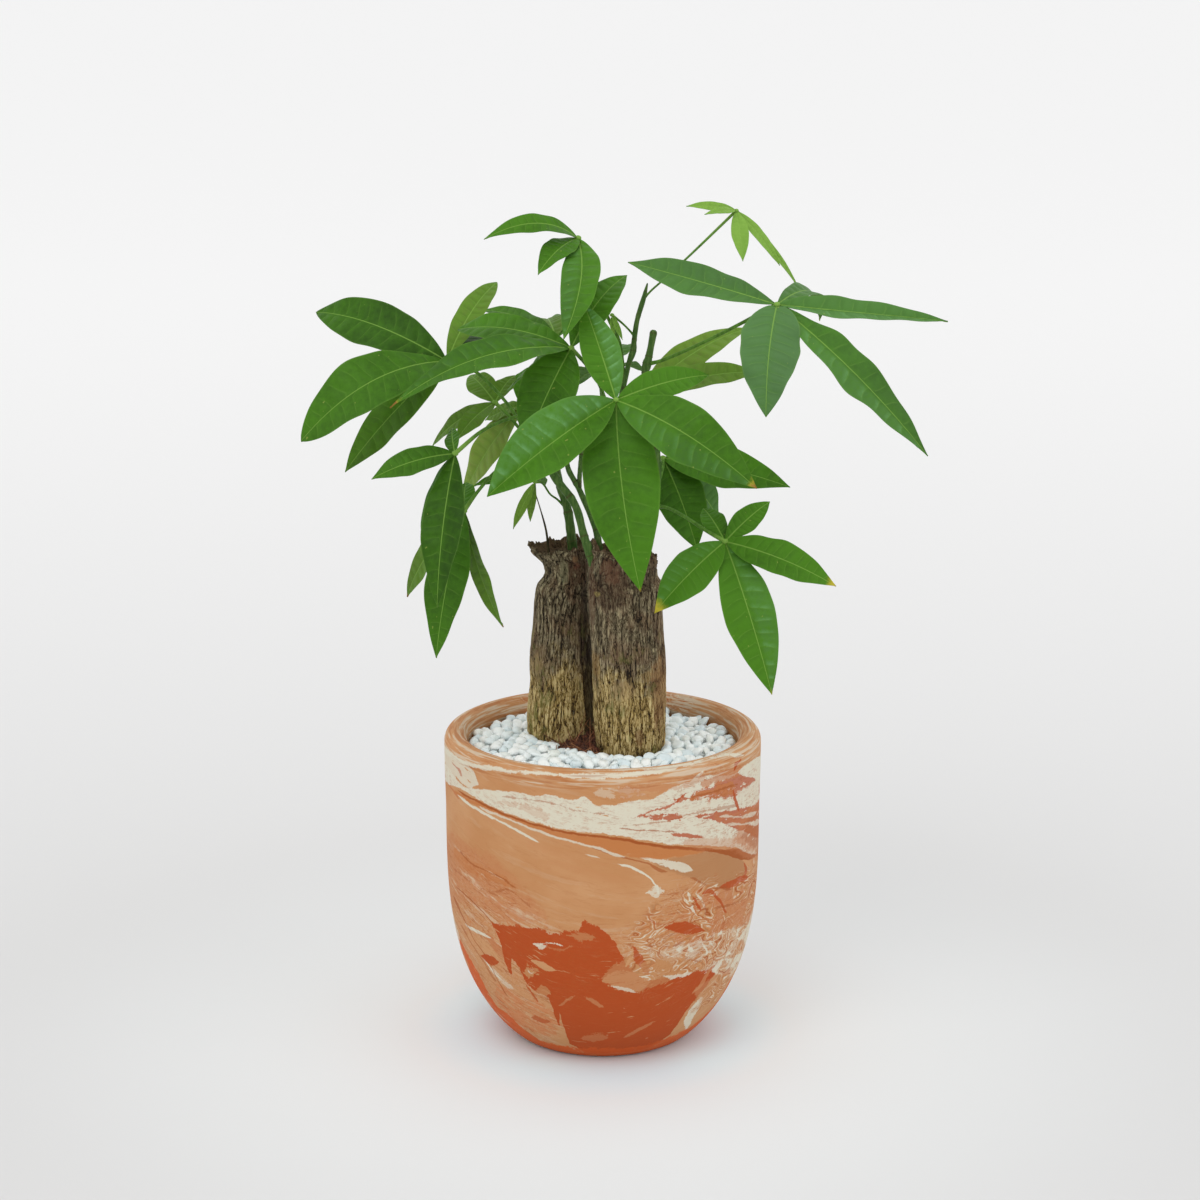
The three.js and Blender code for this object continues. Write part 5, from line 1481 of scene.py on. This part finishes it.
def build_shoot(name, limbs, finish):
    """A shoot is a round tube that swells a little at its nodes, with a scar ring above each."""
    shape = Shape()
    for number, places in enumerate(limbs):
        path, radius = limb_path(places, SHOOT_ROWS)
        run = np.linspace(0, 1, SHOOT_ROWS)
        length = np.linalg.norm(np.diff(path, axis=0), axis=1).sum()
        nodes = (run * length / NODE_SPACING + 0.37 * number) % 1
        swell = 1 + 0.09 * np.exp(-(((nodes - 0.5) / 0.05) ** 2)) + 0.03 * np.sin(run * 60)
        scar = np.exp(-(((nodes - 0.56) / 0.025) ** 2))
        ends = np.clip(np.minimum(run / 0.004 + 0.2, (1 - run) / 0.01 + 0.25), 0, 1) ** 0.5
        values = {"along": run[:, None], "scar": scar[:, None], "age": SHOOT_AGES.get(name, YOUNG_SHOOT)}
        shape.add(tube(path, radius * swell * ends, 20), **values)
    slot = "dry_twig" if name == "dry_twig" else "shoot"
    shape.piece(name + "_stem", slot, [finish], name, sharp=math.radians(60))


def shoot_finish(plant):
    """Green bark that turns brown and corky with age, with pale specks and dark scars at the nodes."""
    stem = Finish("green_stem")
    along, scar, age = stem.given("along"), stem.given("scar"), stem.given("age")
    fibres = stem.noise(700, (1, 1, 0.2), detail=3)
    speck = stem.noise(1300, (1, 1, 0.6), detail=2)
    green = stem.mix(stem.between(fibres, 0.4, 0.7) * 0.6, plant.shoot, "6B8548")
    brown = stem.ramp(fibres, (0.3, "1E1A12"), (0.55, "45402A"), (0.75, "77694A"))
    worn = stem.between(age + 0.5 * (stem.noise(120, (1, 1, 0.5)) - 0.5) - 0.35 * along, 0.3, 0.6)
    shade = stem.mix(worn, green, brown)
    shade = stem.mix(stem.between(speck, 0.66, 0.72) * 0.4, shade, "8E8E66")
    shade = stem.mix(scar * 0.7, shade, "4A3424")
    rough, relief = 0.45 + 0.3 * worn, fibres + 0.5 * speck
    return stem.done(shade, rough, relief, depth=0.4 * MM, strength=0.5, gloss=LEAF_GLOSS)


# ---------------------------------------------------------------- leaves


def lance(s, base, point):
    """A leaflet's width as a share of its widest. It grows as s to the power of its base, falls as 1 - s
    to the power of its point, and is widest where the two balance."""
    widest = base / (base + point)
    return s**base * (1 - s) ** point / (widest**base * (1 - widest) ** point)


def blade(hub, face, item, phase, thickness):
    """One leaflet as a grid, and the values that its finish reads. Along its midrib, which bows above the
    chord from hub to tip and sways aside, its half width follows `lance`. Its halves rise by `fold` from
    the midrib, their margins wave, and the blade bulges between the side veins."""
    chord = sight([item["tip"]])[0] - hub
    length = np.linalg.norm(chord)
    along = chord / length
    above = unit(face - face @ along * along)
    roll = math.radians(item["roll"])
    above = above * math.cos(roll) + np.cross(along, above) * math.sin(roll)
    side = np.cross(along, above)
    s = np.linspace(1.2 * MM / length, 1, BLADE_ROWS)[:, None]
    c = np.linspace(-1, 1, BLADE_COLUMNS)[None]
    half = item["width"] / 2 * lance(s, item["base"], item["point"])
    waves = 0.013 * np.sin(15 * s + phase + 2 * c) + 0.006 * np.sin(33 * s + 2 * phase - c)
    uneven = 1 + item["wavy"] * waves
    half = MM * np.maximum(half * uneven, 0.75 + (0.15 - 0.75) * s)
    bow = 4 * length * s * (1 - s)
    middle = hub + chord * s[..., None] + (item["bow"] * above + item["sway"] * side) * bow[..., None]
    fold = math.radians(item["fold"])
    aside = c * half
    out = np.abs(aside) / MM
    spacing = max(length / MM / 11, 3)
    veins = (s * length / MM - 0.22 * out - 0.008 * out**2) / spacing + 0.3 * np.sign(c)
    veins = veins + 0.15 * np.sin(17 * s + phase + 2 * np.sign(c)) + 0.04 * np.sin(5 * c + 31 * s)
    between_veins = np.abs(np.sin(math.pi * (veins - 0.5)))
    puff = 0.1 * spacing * MM * (between_veins - 0.6) * np.sin(math.pi * np.abs(c)) ** 0.7
    wave = 0.1 * np.sin(9 * s + phase + c) + 0.04 * item["wavy"] * np.sin(23 * s + 2 * phase + 2 * c)
    wave = half * np.abs(c) ** 1.4 * wave
    rise = half * math.sin(fold) * (np.sqrt(c**2 + 0.004) - 0.063) + wave + puff
    groove = np.exp(-((aside / (0.55 * MM)) ** 2)) * (1 - 0.7 * s)
    droop = -0.06 * half * c**2
    raised = rise + droop - 0.22 * MM * groove
    top = middle + side * (aside * math.cos(fold))[..., None] + above * raised[..., None]
    bottom = top - above * (thickness * (1 - 0.5 * np.abs(c) ** 4) + 0.62 * MM * groove)[..., None]
    grid = np.concatenate([top, bottom[:, ::-1]], 1)
    # painted sheen: a pale wash on the half of the leaflet that the sign of its amount picks
    bloom = abs(item["sheen"]) * smoothstep(c * np.sign(item["sheen"]), 0.05, 0.3)
    upper = {"along": s, "aside": aside / MM, "edge": np.abs(c), "veins": veins, "bloom": bloom, "under": 0}
    lower = {**upper, "under": 1}
    values = {}
    for key, value in upper.items():
        sides = [np.broadcast_to(given, aside.shape) for given in (value, lower[key])]
        values[key] = np.concatenate([sides[0], sides[1][:, ::-1]], 1)
    # painted light and shade: one half of the leaflet lighter than the other, and its green changing from
    # lighter to deeper along its length, added to its tone
    lit = 0.16 * math.sin(5 * phase + 1.3 * item["width"]) * np.tanh(4 * c)
    lit = lit + 0.16 * np.cos(math.pi * s + 2 * phase)
    values["tone"] = item["tone"] + np.concatenate([lit, lit[:, ::-1]], 1)
    return grid, {**values, **{key: item[key] for key in ("gold", "brown", "pale", "olive")}}


def build_leaf(name, leaf, finishes, slot, thickness):
    """A leaf is its stalk, swollen at both ends, the hub at its end and the leaflets around it."""
    face = unit(np.array(leaf["face"], float))
    path = smooth_path(sight(leaf["stalk"]), STALK_ROWS)
    run = np.linspace(0, 1, STALK_ROWS)
    radii = np.interp(run, np.linspace(0, 1, 5), STALK_RADII[slot]) * MM
    shape = Shape()
    shape.add(tube(path, radii, 14), 1, along=run[:, None])
    hub = path[-1]
    knob = sphere(10, 16) * [1, 1, 0.8]
    shape.add(hub + knob * 1.5 * radii[-1], 1, along=1)
    for number, item in enumerate(leaf["leaflets"]):
        item = {**item, **{key: item[key] + leaf[key] for key in ("tone", "pale", "olive")}}
        grid, values = blade(hub, face, item, 2.4 * number, thickness)
        shape.add(grid, 0, **values)
    shape.piece(name + "_blades", slot, finishes, name, sharp=math.radians(50))


def leaf_finish(name, fresh, deep, vein, underside, paler):
    """A leaf blade: green clouded with a deeper green, with painted light and shade across its halves and
    along it, quilted between its faint side veins with painted shade behind and painted light before each,
    with a painted sheen on some halves, a pale midrib and margin, a duller underside, and tips that turn
    yellow and then brown."""
    leaf = Finish(name)
    along, aside, edge = leaf.given("along"), leaf.given("aside"), leaf.given("edge")
    veins, under = leaf.given("veins"), leaf.given("under")
    cloud = leaf.noise(42, detail=3)
    mottle = leaf.noise(300, detail=4, roughness=0.65)
    # the tone carries the painted light and shade that blade adds to each leaflet
    deeper = leaf.given("tone") + 0.8 * (cloud - 0.5) + 0.9 * (mottle - 0.5) + 0.08
    green = leaf.mix(leaf.maths("ADD", deeper, 0, clamp=True), fresh, deep)
    # greyer green, partly the leaf's own colour and partly painted sheen
    green = leaf.mix(leaf.given("pale"), green, paler)
    brownish = leaf.mix(leaf.between(mottle, 0.45, 0.7) * 0.5, "7C983C", "868C48")
    green = leaf.mix(leaf.given("olive"), green, brownish)
    # the midrib, the side veins, and painted light and shade on the blade just before and behind each of
    # them
    away = abs(aside)
    midrib = leaf.between(away, 0.22 + 0.4 * (1 - along), 0.05 + 0.1 * (1 - along))
    past = leaf.maths("FRACT", veins)
    inner = leaf.between(edge, 0.98, 0.6)
    lateral = leaf.between(abs(past - 0.5), 0.06, 0.01) * inner * leaf.between(mottle, 0.32, 0.55)
    before = leaf.between(past, 0.12, 0.46) * leaf.between(past, 0.52, 0.46) * inner
    behind = leaf.between(past, 0.47, 0.62) * leaf.between(past, 0.96, 0.64) * inner
    # painted shade on the blade behind each side vein, and painted light before it
    green = leaf.mix(0.15 * behind, green, deep)
    green = leaf.mix(0.15 * before + 0.12 * leaf.between(away, 4, 0.5), green, fresh)
    green = leaf.mix(0.12 * lateral + 0.16 * leaf.between(edge, 0.93, 1), green, vein)
    # painted sheen: a pale blue-green wash on the halves that carry it, strongest just before each side vein
    bloom = leaf.given("bloom") * (0.22 + 0.5 * before) * leaf.between(mottle, 0.15, 0.65)
    green = leaf.mix(bloom, green, "7DB378")
    green = leaf.mix(0.62 * midrib, green, vein)
    back = leaf.mix(0.25 * lateral + 0.6 * midrib, underside, vein)
    back = leaf.mix(leaf.between(mottle, 0.35, 0.7) * 0.4, back, fresh)
    green = leaf.mix(under, green, back)
    # the turned tip and the specks
    ragged = along + 0.1 * (mottle - 0.5) + 0.16 * (cloud - 0.5)
    for key, shade, soft in (("gold", "BFAF38", 0.08), ("brown", "8E6236", 0.03)):
        turned = leaf.given(key)
        reached = leaf.between(ragged, 1 - turned, 1 + soft - turned) * leaf.between(turned, 0, 0.02)
        green = leaf.mix(reached * 0.9, green, shade)
    speck = leaf.between(leaf.noise(420, detail=1), 0.76, 0.8)
    green = leaf.mix(speck * 0.4, green, "A9B25A")
    relief = 0.35 * mottle - 0.25 * lateral - 0.5 * midrib + 0.12 * leaf.noise(1500, detail=2)
    rough = 0.36 + 0.2 * cloud + 0.26 * under
    return leaf.done(green, rough, relief, depth=0.4 * MM, strength=0.5, gloss=LEAF_GLOSS)


def stalk_finish(plant):
    """Leaf stalks: smooth green, faintly streaked along, browner at the shoot and paler at the hub."""
    stalk = Finish("leaf_stalk")
    along = stalk.given("along")
    streak = stalk.noise(500, (1, 1, 0.3), detail=3)
    green = stalk.mix(stalk.between(streak, 0.35, 0.65), "4B7028", "5F8A36")
    green = stalk.mix(stalk.between(along, 0.8, 1) * 0.7, green, plant.vein)
    green = stalk.mix(stalk.between(along, 0.12, 0.0) * 0.5, green, "5A5A2C")
    return stalk.done(green, 0.4 + 0.15 * streak, streak, depth=0.2 * MM, strength=0.4, gloss=LEAF_GLOSS)


# ---------------------------------------------------------------- floor, light and camera


def build_stage(stage):
    """A pale floor that grows lighter with distance, a pale sky, a soft key light in front to the upper
    left, a faint fill, and the camera of the front view."""
    shape = Shape()
    inward = np.geomspace(FLOOR_RADIUS, 0.02, FLOOR_ROWS)
    radius = np.concatenate([[FLOOR_RADIUS, FLOOR_RADIUS], inward])
    height = np.concatenate([[-0.02, -0.001], 0 * inward])
    shape.add(revolved(radius, height, 96))
    placed("floor", shape.mesh("floor", [floor_finish(stage)], math.pi))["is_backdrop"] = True
    for name, place, power, shade in LIGHTS:
        light = bpy.data.lights.new(name, "AREA")
        light.shape = "DISK"
        light.size = LIGHT_SIZE
        light.energy = power
        light.color = shade
        lamp = placed(name, light)
        lamp.location = place
        lamp.rotation_euler = aimed(place, LIT_POINT)
    world = bpy.data.worlds.new("pale")
    world.use_nodes = True
    sky = world.node_tree.nodes["Background"].inputs
    sky["Color"].default_value = (1, 1, 1, 1)
    sky["Strength"].default_value = SKY_STRENGTH
    bpy.context.scene.world = world
    bpy.context.scene.view_settings.view_transform = "Standard"
    camera = bpy.data.cameras.new("front")
    camera.sensor_width = SENSOR
    camera.lens = SENSOR * VIEW["focal"] / (2 * VIEW["middle"])
    seat = placed("front", camera)
    seat.location = EYE
    seat.rotation_euler = (math.pi / 2 - VIEW["pitch"], 0, 0)
    bpy.context.scene.camera = seat


def aimed(place, target):
    """The turn of a light at `place` that points it at the target, which isn't straight below."""
    x, y, z = np.subtract(target, place)
    return (math.atan2(math.hypot(x, y), -z), 0, math.atan2(-x, y))


def floor_finish(stage):
    """A floor that pales with its distance. Round the planter it is painted lighter, to lift the shade at
    its foot, and nearest the foot it is a little bluer, against the warm light that the planter throws on
    it."""
    floor = Finish("pale_floor")
    x, y = floor.axes("XY")
    away = floor.maths("LOGARITHM", floor.most(y + 1, 0.1), 10)
    shade = floor.mix(floor.between(away, -0.1, 0.7), stage.near, stage.far)
    radius = floor.maths("SQRT", x * x + y * y)
    # painted light: the floor round the planter is lighter, lifting the shade at its foot
    shade = floor.mix(floor.between(radius, 0.4, 0.08), shade, stage.beside)
    shade = floor.mix(floor.between(radius, 0.115, 0.075), shade, stage.under)
    return floor.done(shade, 0.95)


# ---------------------------------------------------------------- add-on


class MONEY_TREE_OT_pot(bpy.types.Operator):
    """Turn the planter and paint its marbling"""

    bl_idname = "money_tree.pot"
    bl_label = "Planter"

    def execute(self, context):
        build_pot(context.scene.money_tree_pot)
        return {"FINISHED"}


class MONEY_TREE_OT_soil(bpy.types.Operator):
    """Fill the planter with soil"""

    bl_idname = "money_tree.soil"
    bl_label = "Soil"

    def execute(self, context):
        build_soil(context.scene.money_tree_pot, context.scene.money_tree_bed)
        return {"FINISHED"}


class MONEY_TREE_OT_pebbles(bpy.types.Operator):
    """Lay the white pebbles over the soil"""

    bl_idname = "money_tree.pebbles"
    bl_label = "Pebbles"

    def execute(self, context):
        build_pebbles(context.scene.money_tree_pot, context.scene.money_tree_bed)
        return {"FINISHED"}


class MONEY_TREE_OT_trunks(bpy.types.Operator):
    """Make the two cut trunks with their bark"""

    bl_idname = "money_tree.trunks"
    bl_label = "Trunks"

    def execute(self, context):
        finish = bark_finish(context.scene.money_tree_plant)
        for name, trunk in TRUNKS.items():
            build_trunk(name, trunk, finish)
        return {"FINISHED"}


class MONEY_TREE_OT_shoots(bpy.types.Operator):
    """Grow the shoots from the trunks"""

    bl_idname = "money_tree.shoots"
    bl_label = "Shoots"

    def execute(self, context):
        finish = shoot_finish(context.scene.money_tree_plant)
        for name, limbs in SHOOTS.items():
            build_shoot(name, limbs, finish)
        return {"FINISHED"}


class MONEY_TREE_OT_leaves(bpy.types.Operator):
    """Grow the leaves on the shoots"""

    bl_idname = "money_tree.leaves"
    bl_label = "Leaves"

    def execute(self, context):
        plant = context.scene.money_tree_plant
        stalk = stalk_finish(plant)
        shared = (plant.vein, plant.underside, plant.paler)
        grown = leaf_finish("grown_leaf", plant.leaf, plant.shade, *shared)
        young = leaf_finish("young_leaf", plant.sprout, "5E8A2C", *shared)
        for name, leaf in LEAVES.items():
            slot = "young_leaf" if name in YOUNG else "leaf"
            build_leaf(name, leaf, [young if name in YOUNG else grown, stalk], slot, plant.blade)
        return {"FINISHED"}


class MONEY_TREE_OT_stage(bpy.types.Operator):
    """Set the floor, the light and the camera"""

    bl_idname = "money_tree.stage"
    bl_label = "Floor, light and camera"

    def execute(self, context):
        build_stage(context.scene.money_tree_stage)
        return {"FINISHED"}


class MONEY_TREE_PT_panel(bpy.types.Panel):
    """The money tree's pieces, sizes and colours"""

    bl_label = "Money tree"
    bl_idname = "MONEY_TREE_PT_panel"
    bl_space_type = "VIEW_3D"
    bl_region_type = "UI"
    bl_category = "Money tree"

    def draw(self, context):
        for name, group in SETTINGS.items():
            box = self.layout.box()
            for key in group.__annotations__:
                box.prop(getattr(context.scene, "money_tree_" + name), key)
        for operator in OPERATORS:
            self.layout.operator(operator.bl_idname)


SETTINGS = {"pot": PotSettings, "bed": BedSettings, "plant": PlantSettings, "stage": StageSettings}
OPERATORS = [
    MONEY_TREE_OT_pot, MONEY_TREE_OT_soil, MONEY_TREE_OT_pebbles, MONEY_TREE_OT_trunks, MONEY_TREE_OT_shoots,
    MONEY_TREE_OT_leaves, MONEY_TREE_OT_stage,
]
CLASSES = [*SETTINGS.values(), *OPERATORS, MONEY_TREE_PT_panel]


def register():
    for made in CLASSES:
        bpy.utils.register_class(made)
    for name, group in SETTINGS.items():
        setattr(bpy.types.Scene, "money_tree_" + name, bpy.props.PointerProperty(type=group))


def unregister():
    for name in SETTINGS:
        delattr(bpy.types.Scene, "money_tree_" + name)
    for made in reversed(CLASSES):
        bpy.utils.unregister_class(made)


def main():
    register()
    bpy.ops.money_tree.pot()
    bpy.ops.money_tree.soil()
    bpy.ops.money_tree.pebbles()
    bpy.ops.money_tree.trunks()
    bpy.ops.money_tree.shoots()
    bpy.ops.money_tree.leaves()
    bpy.ops.money_tree.stage()
    visual = [list(corner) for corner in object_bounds()]


if __name__ == "__main__":
    main()
